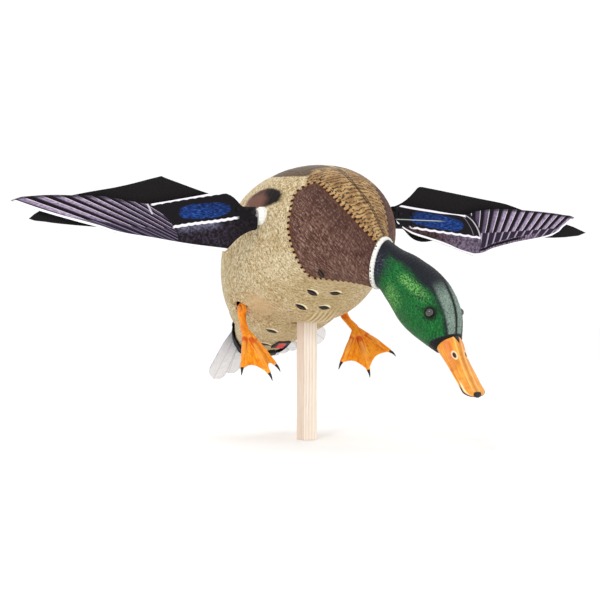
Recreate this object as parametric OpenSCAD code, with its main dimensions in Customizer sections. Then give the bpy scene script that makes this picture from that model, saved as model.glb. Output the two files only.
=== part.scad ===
// Motion wing decoy: a hollow mallard drake that stands on a square stake and
// spins a pair of two-leaf wings with a geared motor inside its body.
// Frame: origin at the centre of the stake's lower end, +Z up along the stake,
// the drake faces -Y, its left side is +X. Lengths are in millimetres.

/* [Stake] */
// Width of the square stake
stake_w = 19; // [16:0.5:22]
// Length of the upper stake section
stake_len = 226; // [215:1:240]
// Bore of the ferrule that takes the next stake section
ferrule_bore_d = 10; // [8:0.5:12]
// Depth of that bore
ferrule_bore_depth = 42; // [30:1:50]

/* [Drive] */
// Height of the wing axis above the foot of the stake
axis_z = 280; // [278:1:282]
// Fore and aft place of the wing axis
axis_y = -37; // [-39:1:-35]
// Diameter of the wing shaft
shaft_d = 6; // [5:0.5:7]
// Diameter of the motor can
motor_d = 36; // [30:1:38]
// Length of the motor can
motor_len = 56; // [50:1:58]
// Radial clearance of every running fit
run_gap = 0.05; // [0.02:0.01:0.1]

/* [Wings] */
// Distance of each leaf from the wing axis at its root
leaf_offset = 7; // [6:0.5:8]
// Thickness of a leaf
leaf_t = 1.2; // [0.8:0.1:2]
// Camber radius of a leaf
leaf_camber_r = 190; // [150:5:260]
// Angle by which a leaf closes on the axis towards its tip
leaf_toe = 0.7; // [0:0.1:0.9]

/* [Body] */
// Wall of the moulded shells
wall = 3; // [2:0.5:4]
// Half width of the lift-off back cover
cover_half_w = 46; // [40:1:50]
// Joint gap all round the back cover
cover_gap = 0.4; // [0.3:0.05:0.8]
// Points round each moulded section
body_seg = 32; // [24:4:40]

/* [Feet] */
// Distance of each foot's hip disc from the middle
hip_x = 73; // [72:0.5:75]
// Thickness of the hip disc
hip_t = 6; // [5:0.5:7]

/* [Hidden] */
$fn = 48;

// The decoy's own frame stands this far ahead of the stake
stake_back = 12;
axis_p = [0, axis_y, axis_z];
shaft_half = 118;
hub_x0 = 98;
hub_len = 32;
collar_x = 44;
bush_r = 11.5;
plate_z = 232;
plate_t = 3;
post_r = 5;
posts = [[-34, -62], [34, -62], [-34, 60], [34, 60]];
cover_y = [-60, 72];
cover_z = 290;
hip_y = 50;
hip_z = 166;
hip_r = 9;
pin_r = 3;
neck_p = [14, -150, 222];
neck_yaw = 38;
neck_pitch = -11;
neck_bore_r = 20;
neck_depth = 22;
neck_r = 31;
switch_p = [3, 93, 120.2];
switch_tilt = 18;
switch_size = [15, 22, 12];
plug_p = [7, 131, 108];
fitting_depth = 15;
// The tail feathers fan out from this point, hidden in the tail
fan_p = [0, 163, 190];
fan_lean = 10;
fan_roll = -17;
fan_pairs = 5;
fan_step = 8.4;
fan_reach = 98;

// One moulded section: [x, y, z, yaw, pitch, half width, half height up, half height down,
// squareness of the upper half], where 2 is an ellipse.
body_st = [
    [0, 120, 167, 0, 22, 60, 58, 50, 2.2],
    [0, 80, 196, 0, 18, 88, 84, 68, 2.5],
    [0, 38, 226, 0, 12, 96, 102, 79, 2.6],
    [0, -10, 246, 0, 6, 95, 100, 94, 2.3],
    [-1.5, -55, 256, 0, -2, 86.5, 87, 86, 2.1],
    [-3, -92, 252, 0, -14, 72, 72, 67, 2],
    [1, -120, 242, 15, -24, 51, 52, 50, 2],
    [8.5, -138, 231, 28, -19, 37.5, 38, 38, 2],
    [neck_p[0], neck_p[1], neck_p[2], neck_yaw, neck_pitch, neck_r, neck_r, neck_r, 2]
];
tail_st = [
    [0, 168, 112, 0, 33, 20, 12, 10, 2],
    [0, 150, 124, 0, 33, 36, 22, 20, 2],
    [0, 120, 146, 0, 33, 50, 36, 34, 2],
    [0, 90, 166, 0, 33, 58, 46, 44, 2],
    [0, 70, 180, 0, 33, 50, 42, 42, 2]
];
head_st = [
    [neck_p[0], neck_p[1], neck_p[2], neck_yaw, neck_pitch, 30.5, 30.5, 30.5, 2],
    [22, -161, 214, 35, -27, 26.5, 27.5, 26.5, 2],
    [32, -176, 200, 30, -37, 27.5, 33, 31, 2],
    [42, -194, 180, 24, -42, 30.5, 38.5, 36, 2],
    [48, -209, 163, 19, -45, 31, 38, 34, 2],
    [53, -225, 144, 15, -48, 26, 30, 27, 2],
    [55, -236, 127, 14, -48, 19, 17, 16, 2]
];
bill_st = [
    [54, -232, 132, 14, -48, 16, 12, 12, 2],
    [55.5, -239, 124, 14, -48, 17.5, 15, 12, 2],
    [57, -252, 107, 14, -50, 16.5, 10, 8, 2],
    [60, -266, 89, 14, -50, 18, 6, 5, 2],
    [61.5, -278, 75, 14, -48, 18, 4.5, 4, 2]
];

// Wing outlines: [distance out from the middle, chord], leading edge at the negative chord.
leaf_a = [
    [97, -2], [104, 2], [112, 8], [119, 13], [127, 21], [137, 26], [150, 27], [170, 23],
    [196, 18], [234, 11], [247, 11.4], [272, 15], [296, 18], [333, 18], [368, 17], [404, 10],
    [351, -6], [300, -18], [272, -25.5], [233, -31], [183, -38], [150, -42.5], [138, -43.5],
    [133, -39], [125, -30.5], [115, -23], [104, -18], [97, -16]
];
leaf_b = [
    [98, 8], [107, 18.7], [160, 12.5], [202, 8.6], [220, 13.6], [252, 18], [300, 17.5],
    [343, 15], [362, 13], [381, 10], [362, -3], [343, -15.5], [278, -29], [250, -36],
    [223, -43.5], [215, -42.5], [169, -29], [145, -23], [122, -17], [100, -4]
];

// ---- Curves ----

// Catmull-Rom blend of four values at t between the middle two
function blend4(a, b, c, d, t) =
    0.5 * (2 * b + (c - a) * t + (2 * a - 5 * b + 4 * c - d) * t * t
        + (3 * b - a - 3 * c + d) * t * t * t);
function station_at(st, u) =
    let (last = len(st) - 1, i = min(floor(u), last - 1))
    blend4(st[max(i - 1, 0)], st[i], st[i + 1], st[min(i + 2, last)], u - i);
function forward(s) = [sin(s[3]) * cos(s[4]), -cos(s[3]) * cos(s[4]), sin(s[4])];
function sideways(s) = [cos(s[3]), sin(s[3]), 0];
function upward(s) = cross(forward(s), sideways(s));
function centre(s) = [s[0], s[1], s[2]];
function section(s, seg, inset) = [
    for (k = [0 : seg - 1])
        let (
            a = 360 * k / seg,
            h = sin(a) > 0 ? s[6] : s[7],
            e = sin(a) > 0 ? 2 / s[8] : 1
        )
        centre(s) + sideways(s) * (s[5] - inset) * sign(cos(a)) * pow(abs(cos(a)), e)
            + upward(s) * (h - inset) * sign(sin(a)) * pow(abs(sin(a)), e)
];
// A station carried out from an end and shrunk, as on a rounded end
function rounded(s, reach, a) =
    let (p = centre(s) + forward(s) * reach * sin(a), k = max(cos(a), 0.03))
    [p[0], p[1], p[2], s[3], s[4], s[5] * k, s[6] * k, s[7] * k, s[8]];
function stations(st, steps, rear, front) = concat(
    rear > 0 ? [for (a = [90, 72, 54, 36, 18]) rounded(st[0], -rear, a)] : [],
    [for (k = [0 : (len(st) - 1) * steps]) station_at(st, k / steps)],
    front > 0 ? [for (a = [18, 36, 54, 72, 90]) rounded(st[len(st) - 1], front, a)] : []
);
// A moulded form through the stations; rear and front are the reach of rounded ends
module loft(st, steps = 3, seg = body_seg, inset = 0, rear = 0, front = 0) {
    rings = stations(st, steps, rear, front);
    n = len(rings);
    points = [for (s = rings) each section(s, seg, inset * min(1, s[5] / 20))];
    sides = [
        for (i = [0 : n - 2], k = [0 : seg - 1])
            let (a = i * seg + k, b = i * seg + (k + 1) % seg)
            each [[a, a + seg, b], [b, a + seg, b + seg]]
    ];
    ends = [[for (k = [0 : seg - 1]) k], [for (k = [seg - 1 : -1 : 0]) (n - 1) * seg + k]];
    polyhedron(points, concat(sides, ends), convexity = 8);
}
// Marks a form that is taken as facets
module moulded() {
    resize([0, 0, 0]) children();
}

// ---- Placing ----

// A round bar along X through the height and depth of p
module along_x(p, r, x0, x1) {
    translate([x0, p[1], p[2]]) rotate([0, 90, 0]) cylinder(r = r, h = x1 - x0);
}
// Places a child on the wing axis
module at_axis() {
    translate(axis_p) children();
}
// Places a child with its +Z along the neck, pointing to the head
module at_neck() {
    translate(neck_p) rotate([0, 0, neck_yaw]) rotate([90 - neck_pitch, 0, 0]) children();
}
// Places a child with its +Z square out of the underside of the tail, which is at fitting_depth
module at_tail_underside(p) {
    translate(p) rotate([-switch_tilt, 0, 0]) mirror([0, 0, 1])
        translate([0, 0, -fitting_depth]) children();
}
// Carries the decoy's own frame to its place on the stake
module on_stake() {
    translate([0, -stake_back, 0]) children();
}
// Mirrors a child to the drake's right where side is -1
module on_side(side) {
    if (side > 0) children();
    else mirror([1, 0, 0]) children();
}

// ---- Stake ----

// Square wooden stake, bored from below for the ferrule
module stake_section() color("blanchedalmond") {
    difference() {
        translate([-stake_w / 2, -stake_w / 2, 0]) cube([stake_w, stake_w, stake_len]);
        translate([0, 0, -1]) cylinder(d = ferrule_bore_d + 3, h = ferrule_bore_depth + 3);
    }
}
// Metal tube that takes the spigot of the next stake section
module stake_ferrule() color("silver") {
    difference() {
        cylinder(d = ferrule_bore_d + 3, h = ferrule_bore_depth + 2);
        translate([0, 0, -1]) cylinder(d = ferrule_bore_d, h = ferrule_bore_depth + 1);
    }
}

// ---- Body ----

// Outer form of the body, solid
module body_outer() {
    loft(body_st, steps = 3, rear = 22);
}
// Hollow of the body
module body_inner() {
    inner_st = [for (i = [0 : len(body_st) - 3]) body_st[i]];
    loft(inner_st, steps = 2, seg = 24, inset = wall, rear = 19);
}
// Plan outline of the back cover as a tall prism; extra grows it
module cover_prism(extra, z0) {
    translate([0, (cover_y[0] + cover_y[1]) / 2, z0])
        linear_extrude(120)
            offset(r = 14 + extra, $fn = 32)
                square([2 * cover_half_w - 28, cover_y[1] - cover_y[0] - 28], center = true);
}
// Recess in the flank that a hip disc turns in
module hip_pocket(side) {
    on_side(side) along_x([0, hip_y, hip_z], hip_r + 1.5, hip_x - hip_t / 2 - 0.4, 110);
}
// Hollow body with its screw posts, wing bosses, hip bosses and openings
module body_shell() color("tan") {
    moulded() difference() {
        union() {
            difference() {
                body_outer();
                body_inner();
            }
            intersection() {
                union() {
                    for (p = posts) translate([p[0], p[1], 120]) cylinder(r = post_r, h = plate_z - 120);
                    for (side = [-1, 1]) {
                        on_side(side) along_x([0, hip_y, hip_z], hip_r + 5, 50, 110);
                        on_side(side) along_x(axis_p, bush_r + 3, 80, 110);
                    }
                }
                body_outer();
            }
            for (side = [-1, 1]) {
                on_side(side) along_x([0, hip_y, hip_z], hip_r, 50, hip_x - hip_t / 2 - 0.4);
            }
        }
        cover_prism(0, cover_z);
        at_neck() translate([0, 0, -neck_depth - 8]) cylinder(r = neck_bore_r + 4.1, h = 40);
        translate([-17, stake_back - 17, 120]) cube([34, 34, 60]);
        at_tail_underside(switch_p) switch_opening(0.6);
        for (side = [-1, 1]) {
            hip_pocket(side);
            on_side(side) along_x([0, hip_y, hip_z], pin_r + 0.1, 40, 100);
            on_side(side) along_x(axis_p, bush_r + 0.1, 70, 110);
        }
        for (p = posts) translate([p[0], p[1], plate_z - 14]) cylinder(r = 1.7, h = 20, $fn = 16);
    }
}
// Lift-off piece of the back
module back_cover() color("wheat") {
    moulded() intersection() {
        difference() {
            body_outer();
            body_inner();
        }
        cover_prism(-cover_gap, cover_z);
    }
}
// Rubber pads under the back cover
module cover_bumpers() color("dimgray") {
    for (p = [[-28, -40], [28, -40], [-28, 52], [28, 52]])
        translate([p[0], p[1], bumper_z(p[1])]) cylinder(r = 4, h = 6);
}
// Height of the pads at y
function bumper_z(y) = y < 0 ? 330 : 302;
// Sleeve in the body that the neck turns in
module neck_socket() color("dimgray") {
    at_neck() difference() {
        translate([0, 0, -neck_depth - 7]) cylinder(r = neck_bore_r + 4, h = neck_depth + 7);
        translate([0, 0, -neck_depth - 8]) cylinder(r = neck_bore_r, h = neck_depth + 9);
    }
}
// Hollow tail moulding with openings for the switch and the charge jack
module tail_section() color("tan") {
    moulded() difference() {
        loft(tail_st, steps = 3, rear = 8);
        loft(tail_st, steps = 2, seg = 24, inset = wall);
        translate([0, 60, 150]) cube([160, 30, 160], center = true);
        body_outer();
        at_tail_underside(switch_p) switch_opening(0.1);
        at_tail_underside(plug_p) translate([0, 0, -20]) cylinder(r = 6.1, h = 50, $fn = 24);
    }
}
// Slot for the switch; gap is its clearance
module switch_opening(gap) {
    translate([-switch_size[0] / 2 - gap, -switch_size[1] / 2 - gap, 2])
        cube([switch_size[0] + 2 * gap, switch_size[1] + 2 * gap, 30]);
}
// Outer form of the black coverts over the tail
module rump_outer(inset = 0) {
    cover_st = [for (i = [0, 1, 2]) tail_st[i] + [0, 0, 0, 0, 0, 3.5, 3.5, 3.5, 0]];
    loft(cover_st, steps = 2, inset = inset, rear = 12);
}
// Black coverts over the base of the tail
module rump_coverts() color("black") {
    moulded() difference() {
        rump_outer();
        body_outer();
        loft(tail_st, steps = 3, inset = -0.3, rear = 8.4);
        translate([0, 120, 40]) rotate([-57, 0, 0]) cube([140, 60, 160], center = true);
        translate([0, 100, 150]) cube([140, 76, 160], center = true);
        translate([0, 150, 60]) cube([140, 80, 90], center = true);
    }
}
// One tail feather as a flat outline hanging from its root
function feather(length, half_w) = concat(
    [[-3, -42], [-half_w * 0.7, -length * 0.66]],
    [for (a = [180 : 22.5 : 360]) [half_w * cos(a), -length + half_w * (1 + sin(a))]],
    [[half_w * 0.7, -length * 0.66], [3, -42]]
);
// Fan of white tail feathers
module tail_feathers() color("whitesmoke") {
    moulded() difference() {
        translate(fan_p) rotate([fan_lean, fan_roll, 0])
            for (k = [-fan_pairs : fan_pairs])
                translate([0, -0.7 * abs(k), 0]) rotate([0, -fan_step * k, 0]) rotate([90, 0, 0])
                    linear_extrude(1.4) polygon(feather(fan_reach / cos(fan_step * k), 13));
        rump_outer(inset = -0.3);
        loft(tail_st, steps = 3, inset = -0.3, rear = 8.4);
    }
}
// Ribbed boot where the stake enters the belly
module stake_boot() color("burlywood") {
    difference() {
        union() {
            translate([-15, -15, 150]) cube([30, 30, 4]);
            translate([-13, -13, 154]) cube([26, 26, 16]);
            for (k = [-1, 0, 1], turn = [0 : 90 : 270])
                rotate([0, 0, turn]) translate([10 * k, -14.5, 150]) cylinder(r = 2.2, h = 18);
        }
        translate([-stake_w / 2 - 0.3, -stake_w / 2 - 0.3, 140])
            cube([stake_w + 0.6, stake_w + 0.6, 40]);
    }
}
// Square tube that takes the head of the stake
module stake_socket() color("dimgray") {
    difference() {
        union() {
            translate([-13, -13, 170]) cube([26, 26, plate_z - 170]);
            translate([-20, -20, plate_z - 4]) cube([40, 40, 4]);
        }
        translate([-stake_w / 2 - 0.3, -stake_w / 2 - 0.3, 160])
            cube([stake_w + 0.6, stake_w + 0.6, stake_len + 0.4 - 160]);
    }
}
// Plate that carries the drive and the battery
module chassis_plate() color("gray") {
    difference() {
        translate([-44, -72, plate_z]) cube([88, 142, plate_t]);
        for (p = posts) translate([p[0], p[1], plate_z - 1]) cylinder(r = 2, h = plate_t + 2);
    }
}
// Screws of the chassis plate
module chassis_screws() color("silver") {
    for (p = posts) translate([p[0], p[1], 0]) {
        translate([0, 0, plate_z - 11]) cylinder(r = 1.5, h = 11 + plate_t);
        translate([0, 0, plate_z + plate_t]) cylinder(r = 3.4, h = 2.2);
    }
}

// ---- Drive ----

// Saddle that the motor lies in
module motor_cradle() color("dimgray") {
    top = axis_z - 6;
    difference() {
        translate([-24, axis_y - 22, plate_z + plate_t]) cube([48, 44, top - plate_z - plate_t]);
        along_x(axis_p, motor_d / 2, -40, 40);
        translate([-14, axis_y - 30, plate_z + plate_t + 4]) cube([28, 60, 14]);
    }
}
// Steel case of the motor
module motor_can() color("silver") {
    difference() {
        along_x(axis_p, motor_d / 2, -motor_len / 2, motor_len / 2);
        along_x(axis_p, motor_d / 2 - 2, -motor_len, motor_len);
    }
}
// End caps of the motor with their shaft bearings
module motor_end_bells() color("gainsboro") {
    for (side = [-1, 1]) on_side(side) difference() {
        union() {
            along_x(axis_p, motor_d / 2, motor_len / 2, motor_len / 2 + 3);
            along_x(axis_p, 7, motor_len / 2 - 4, motor_len / 2 + 7);
        }
        along_x(axis_p, shaft_d / 2 + run_gap, 0, 60);
    }
}
// Shaft through the body from wing to wing
module wing_shaft() color("lightgray") {
    along_x(axis_p, shaft_d / 2, -shaft_half, shaft_half);
}
// Wound armature on the shaft
module motor_armature() color("darkgoldenrod") {
    difference() {
        along_x(axis_p, motor_d / 2 - 4, -18, 18);
        along_x(axis_p, shaft_d / 2, -20, 20);
    }
}
// Collars that hold the shaft endways
module drive_collars() color("gold") {
    for (side = [-1, 1]) on_side(side) difference() {
        along_x(axis_p, 8, collar_x, collar_x + 14);
        along_x(axis_p, shaft_d / 2, collar_x - 1, collar_x + 15);
    }
}
// Bearing bush of the shaft in the flank
module wing_bush(side) color("white") {
    on_side(side) difference() {
        union() {
            along_x(axis_p, bush_r, 78, 90);
            translate([90, axis_y, axis_z]) rotate([0, 90, 0]) cylinder(r1 = bush_r, r2 = 8, h = 5);
        }
        along_x(axis_p, shaft_d / 2 + run_gap, 70, 100);
        along_x(axis_p, 8, 77, 88);
    }
}
// Rechargeable pack
module battery_pack() color("navy") {
    translate([-44, 8, plate_z + plate_t]) cube([88, 44, 28]);
}
// Strap over the battery pack
module battery_strap() color("black") {
    difference() {
        translate([-10, 5, plate_z + plate_t]) cube([20, 50, 31]);
        translate([-11, 8, plate_z + plate_t - 1]) cube([22, 44, 29]);
    }
}
// Speed and timer board on two stand-offs
module control_board() color("green") {
    translate([-22, -71, plate_z + plate_t + 3]) cube([44, 10, 26]);
    for (x = [-16, 16]) translate([x - 3, -71, plate_z + plate_t]) cube([6, 10, 3]);
}
// Screened receiver on the board
module receiver_can() color("silver") {
    translate([-8, -74, plate_z + plate_t + 8]) cube([16, 3, 12]);
}
// A whole lead swept along its route
module lead(route, r) {
    last = len(route) - 1;
    st = [
        for (i = [0 : last])
            let (v = route[min(i + 1, last)] - route[max(i - 1, 0)])
            [route[i][0], route[i][1], route[i][2], atan2(v[0], -v[1]), asin(v[2] / norm(v)), r, r, r, 2]
    ];
    loft(st, steps = 3, seg = 8);
}
// Leads from the battery to the board and to the switch
module power_leads() color("red") {
    lead([[30, 7.5, 250], [32, 0, 250], [34, -12, 250], [34, -35, 250], [32, -54, 252],
        [27, -64, 254], [23.5, -66, 254]], 1.2);
    lead([[-30, 52.5, 250], [-31, 60, 248], [-28, 76, 236], [-22, 88, 210], [-18, 96, 180]], 1.2);
}

// ---- Underside of the tail ----

// Frame of the power switch
module switch_bezel() color("black") {
    at_tail_underside(switch_p) difference() {
        union() {
            translate([-switch_size[0] / 2 - 1.5, -switch_size[1] / 2 - 1.5, 15.6])
                cube([switch_size[0] + 3, switch_size[1] + 3, 2]);
            translate([-switch_size[0] / 2, -switch_size[1] / 2, 4])
                cube([switch_size[0], switch_size[1], switch_size[2]]);
        }
        translate([-switch_size[0] / 2 + 2, -switch_size[1] / 2 + 2, 7])
            cube([switch_size[0] - 4, switch_size[1] - 4, 20]);
    }
}
// Rocker of the power switch
module power_rocker() color("red") {
    half = switch_size[1] / 2 - 3.4;
    at_tail_underside(switch_p) translate([-switch_size[0] / 2 + 2.3, 0, 13])
        rotate([90, 0, 90]) linear_extrude(switch_size[0] - 4.6)
            polygon([[-half, -1], [0, -4], [half, 2], [half, 6.4], [0, 5], [-half, 4]]);
}
// Socket of the charging port
module charge_jack() color("dimgray") {
    at_tail_underside(plug_p) difference() {
        translate([0, 0, 0]) cylinder(r = 6, h = 15);
        translate([0, 0, 5]) cylinder(r = 3.6, h = 20);
    }
}
// Rubber plug of the charging port
module charge_plug() color("black") {
    at_tail_underside(plug_p) {
        translate([0, 0, 15.5]) cylinder(r = 6.8, h = 3);
        translate([0, 0, 8]) cylinder(r = 3.6 - run_gap, h = 8);
        translate([-1.5, -8.5, 16]) cube([3, 3, 2]);
    }
}

// ---- Wings ----

// Outline smoothed through its own points
function smooth(p, steps) = let (n = len(p)) [
    for (i = [0 : n - 1], k = [0 : steps - 1])
        blend4(p[(i + n - 1) % n], p[i], p[(i + 1) % n], p[(i + 2) % n], k / steps)
];
// A leaf on the left side, printed face towards -Y; chord +1 puts its trailing edge up
module leaf(outline, front, chord) {
    at_axis() rotate([0, 0, front * leaf_toe])
        translate([0, -front * (leaf_offset + hub_x0 * sin(leaf_toe)), 0])
            intersection() {
                rotate([90, 0, 0]) translate([0, 0, -10])
                    linear_extrude(20) polygon(smooth([for (p = outline) [p[0], chord * p[1]]], 2));
                translate([0, front * leaf_camber_r, 0]) rotate([0, 90, 0]) difference() {
                    cylinder(r = leaf_camber_r, h = 420, $fn = 128);
                    translate([0, 0, -1]) cylinder(r = leaf_camber_r - leaf_t, h = 422, $fn = 128);
                }
            }
}
// A leaf with the holes for its hub screws
module drilled_leaf(outline, front, chord) {
    difference() {
        leaf(outline, front, chord);
        at_screws() cylinder(r = 1.25, h = 40, center = true);
    }
}
module right_wing_front_leaf() color("indigo") mirror([1, 0, 0]) drilled_leaf(leaf_a, 1, 1);
module right_wing_rear_leaf() color("black") mirror([1, 0, 0]) drilled_leaf(leaf_b, -1, -1);
module left_wing_front_leaf() color("indigo") drilled_leaf(leaf_b, 1, 1);
module left_wing_rear_leaf() color("black") drilled_leaf(leaf_a, -1, -1);
// Puts a child at each of a wing's four screw axes, along -Y
module at_screws() {
    for (x = [105, 123], z = [-7.5, 7.5]) translate([x, axis_y, axis_z + z]) rotate([90, 0, 0]) children();
}
// Block that joins two leaves to the shaft
module wing_hub(side) color("black") {
    half_t = leaf_offset - leaf_t - 0.9;
    on_side(side) difference() {
        intersection() {
            translate([hub_x0, axis_y - half_t, axis_z - 11]) cube([hub_len, 2 * half_t, 22]);
            along_x(axis_p, 12, hub_x0 - 1, hub_x0 + hub_len + 1);
        }
        along_x(axis_p, shaft_d / 2 + run_gap, hub_x0 - 2, shaft_half + 0.5);
        along_x(axis_p, shaft_d / 2, hub_x0 - 2, shaft_half + 4.5);
        at_screws() cylinder(r = 1.2, h = 40, center = true);
    }
}
// Screws that hold both leaves on a hub
module wing_screws(side) color("silver") {
    on_side(side) at_screws() for (turn = [0, 180]) rotate([turn, 0, 0]) {
        cylinder(r = 1.2, h = leaf_offset + 0.1);
        translate([0, 0, leaf_offset + 0.05]) cylinder(r = 2.4, h = 1.2);
    }
}
// Magnet that holds a wing on the end of the shaft
module wing_magnet(side) color("silver") {
    on_side(side) along_x(axis_p, shaft_d / 2, shaft_half + 0.5, shaft_half + 4.5);
}

// ---- Head ----

// Tube on the head that turns in the neck socket
module neck_spigot() color("dimgray") {
    at_neck() difference() {
        translate([0, 0, -neck_depth]) cylinder(r = neck_bore_r - run_gap, h = neck_depth + 2);
        translate([0, 0, -neck_depth - 1]) cylinder(r = neck_bore_r - 4, h = neck_depth + 4);
    }
}
// White collar round the base of the neck
module neck_ring() color("white") {
    at_neck() translate([0, 0, 0.3]) difference() {
        cylinder(r = neck_r, h = 5);
        translate([0, 0, -1]) cylinder(r = neck_bore_r, h = 7);
    }
}
// Head and neck down to the collar
module head_shell() color("darkgreen") {
    moulded() difference() {
        loft(head_st, steps = 3, front = 4);
        at_neck() translate([0, 0, -60]) cylinder(r = 50, h = 65.5);
        loft(bill_st, steps = 3, seg = 24, inset = -0.15, front = 9.2);
        for (side = [-1, 1]) at_eye(side) sphere(r = 5.2, $fn = 24);
    }
}
eye_st = station_at(head_st, 4.57);
eye_side = 26.2;
eye_up = 16.2;
// Places a child at an eye; side is +1 on the right of the head
module at_eye(side) {
    translate(centre(eye_st) - sideways(eye_st) * side * eye_side + upward(eye_st) * eye_up) children();
}
module eye(side) color("black") {
    at_eye(side) sphere(r = 5);
}
module bill() color("orange") {
    moulded() loft(bill_st, steps = 3, seg = 24, front = 9);
}
// Black nail at the tip of the bill
module bill_nail() color("black") {
    tip = bill_st[len(bill_st) - 1];
    moulded() intersection() {
        difference() {
            loft(bill_st, steps = 3, seg = 24, inset = -1, front = 10);
            loft(bill_st, steps = 3, seg = 24, inset = -0.1, front = 9.1);
        }
        translate(centre(tip) + forward(tip) * 8 + upward(tip) * 6)
            rotate([0, 0, tip[3]]) rotate([90 - tip[4], 0, 0]) cylinder(r = 6, h = 7, center = true);
    }
}

// ---- Feet ----

ankle = [80, 28, 140];
// Toe ends, inner to outer; the left foot is held a little higher than the right
function toes(side) = side > 0 ?
    [[46, 4, 98], [71, -22, 88], [106, -16, 112]] :
    [[49, 4, 97], [70, -22, 87], [104, -16, 94]];
// Leg, toes and webs in one moulding with its hip disc
module foot(side) color("orange") {
    on_side(side) difference() {
        union() {
            along_x([0, hip_y, hip_z], hip_r, hip_x - hip_t / 2, hip_x + hip_t / 2);
            hull() {
                translate([hip_x + 1.5, hip_y - 3, hip_z - 11]) sphere(r = 4.4, $fn = 16);
                translate(ankle) sphere(r = 4.6, $fn = 16);
            }
            for (t = toes(side)) hull() {
                translate(ankle) sphere(r = 4, $fn = 16);
                translate(t) sphere(r = 2.2, $fn = 16);
            }
            for (k = [0, 1]) hull() {
                translate(ankle) sphere(r = 2.2, $fn = 12);
                translate(toes(side)[k]) sphere(r = 1.1, $fn = 12);
                translate(toes(side)[k + 1]) sphere(r = 1.1, $fn = 12);
            }
        }
        along_x([0, hip_y, hip_z], pin_r + run_gap, 40, 100);
    }
}
// Three claws of a foot
module claws(side) color("black") {
    on_side(side) for (t = toes(side)) {
        v = (t - ankle) / norm(t - ankle);
        translate(t + 2.3 * v) rotate([0, acos(v[2]), atan2(v[1], v[0])])
            cylinder(r1 = 1.7, r2 = 0.4, h = 9);
    }
}
// Pin that a foot swings on
module hip_pin(side) color("silver") {
    on_side(side) {
        along_x([0, hip_y, hip_z], pin_r, 58, hip_x + hip_t / 2 + 0.3);
        along_x([0, hip_y, hip_z], 5, hip_x + hip_t / 2 + 0.3, hip_x + hip_t / 2 + 2.3);
    }
}

// ---- Nodes ----

stake_section();
stake_ferrule();
on_stake() body_shell();
on_stake() neck_socket();
on_stake() tail_section();
on_stake() rump_coverts();
on_stake() tail_feathers();
stake_boot();
stake_socket();
on_stake() chassis_plate();
on_stake() chassis_screws();
on_stake() motor_cradle();
on_stake() motor_can();
on_stake() motor_end_bells();
on_stake() wing_bush(-1);  // wing_bush_right
on_stake() wing_bush(1);  // wing_bush_left
on_stake() battery_pack();
on_stake() battery_strap();
on_stake() control_board();
on_stake() receiver_can();
on_stake() power_leads();
on_stake() hip_pin(-1);  // hip_pin_right
on_stake() hip_pin(1);  // hip_pin_left
on_stake() switch_bezel();
on_stake() charge_jack();
on_stake() back_cover();
on_stake() cover_bumpers();
on_stake() wing_shaft();
on_stake() motor_armature();
on_stake() drive_collars();
on_stake() wing_hub(-1);  // right_wing_hub
on_stake() right_wing_front_leaf();
on_stake() right_wing_rear_leaf();
on_stake() wing_magnet(-1);  // right_wing_magnet
on_stake() wing_screws(-1);  // right_wing_screws
on_stake() wing_hub(1);  // left_wing_hub
on_stake() left_wing_front_leaf();
on_stake() left_wing_rear_leaf();
on_stake() wing_magnet(1);  // left_wing_magnet
on_stake() wing_screws(1);  // left_wing_screws
on_stake() neck_spigot();
on_stake() neck_ring();
on_stake() head_shell();
on_stake() bill();
on_stake() bill_nail();
on_stake() eye(1);  // eye_right
on_stake() eye(-1);  // eye_left
on_stake() foot(-1);  // right_foot
on_stake() claws(-1);  // right_claws
on_stake() foot(1);  // left_foot
on_stake() claws(1);  // left_claws
on_stake() power_rocker();
on_stake() charge_plug();
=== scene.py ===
"""Looks of the motion wing decoy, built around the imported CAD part.

Lengths in the tables are millimetres in the decoy's own frame, which stands BACK ahead of the stake.
"""

import math

import bmesh
import bpy
import numpy as np
from mathutils import Matrix, Vector, kdtree
from mathutils import noise as perlin


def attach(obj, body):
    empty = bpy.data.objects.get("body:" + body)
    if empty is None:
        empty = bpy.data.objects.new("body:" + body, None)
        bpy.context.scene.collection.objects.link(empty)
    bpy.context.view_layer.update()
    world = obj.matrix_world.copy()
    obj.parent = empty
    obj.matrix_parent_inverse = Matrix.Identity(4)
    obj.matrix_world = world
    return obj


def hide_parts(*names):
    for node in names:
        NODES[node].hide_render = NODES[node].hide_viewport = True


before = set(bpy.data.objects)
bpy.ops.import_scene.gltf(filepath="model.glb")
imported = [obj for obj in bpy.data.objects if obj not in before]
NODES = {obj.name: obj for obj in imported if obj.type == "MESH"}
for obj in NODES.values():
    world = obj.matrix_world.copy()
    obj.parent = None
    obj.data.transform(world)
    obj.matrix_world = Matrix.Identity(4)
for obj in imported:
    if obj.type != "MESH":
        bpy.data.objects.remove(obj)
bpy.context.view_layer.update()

MM = 0.001
BACK = 12.0
AXIS_Y, AXIS_Z = -49.0, 280.0

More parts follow.
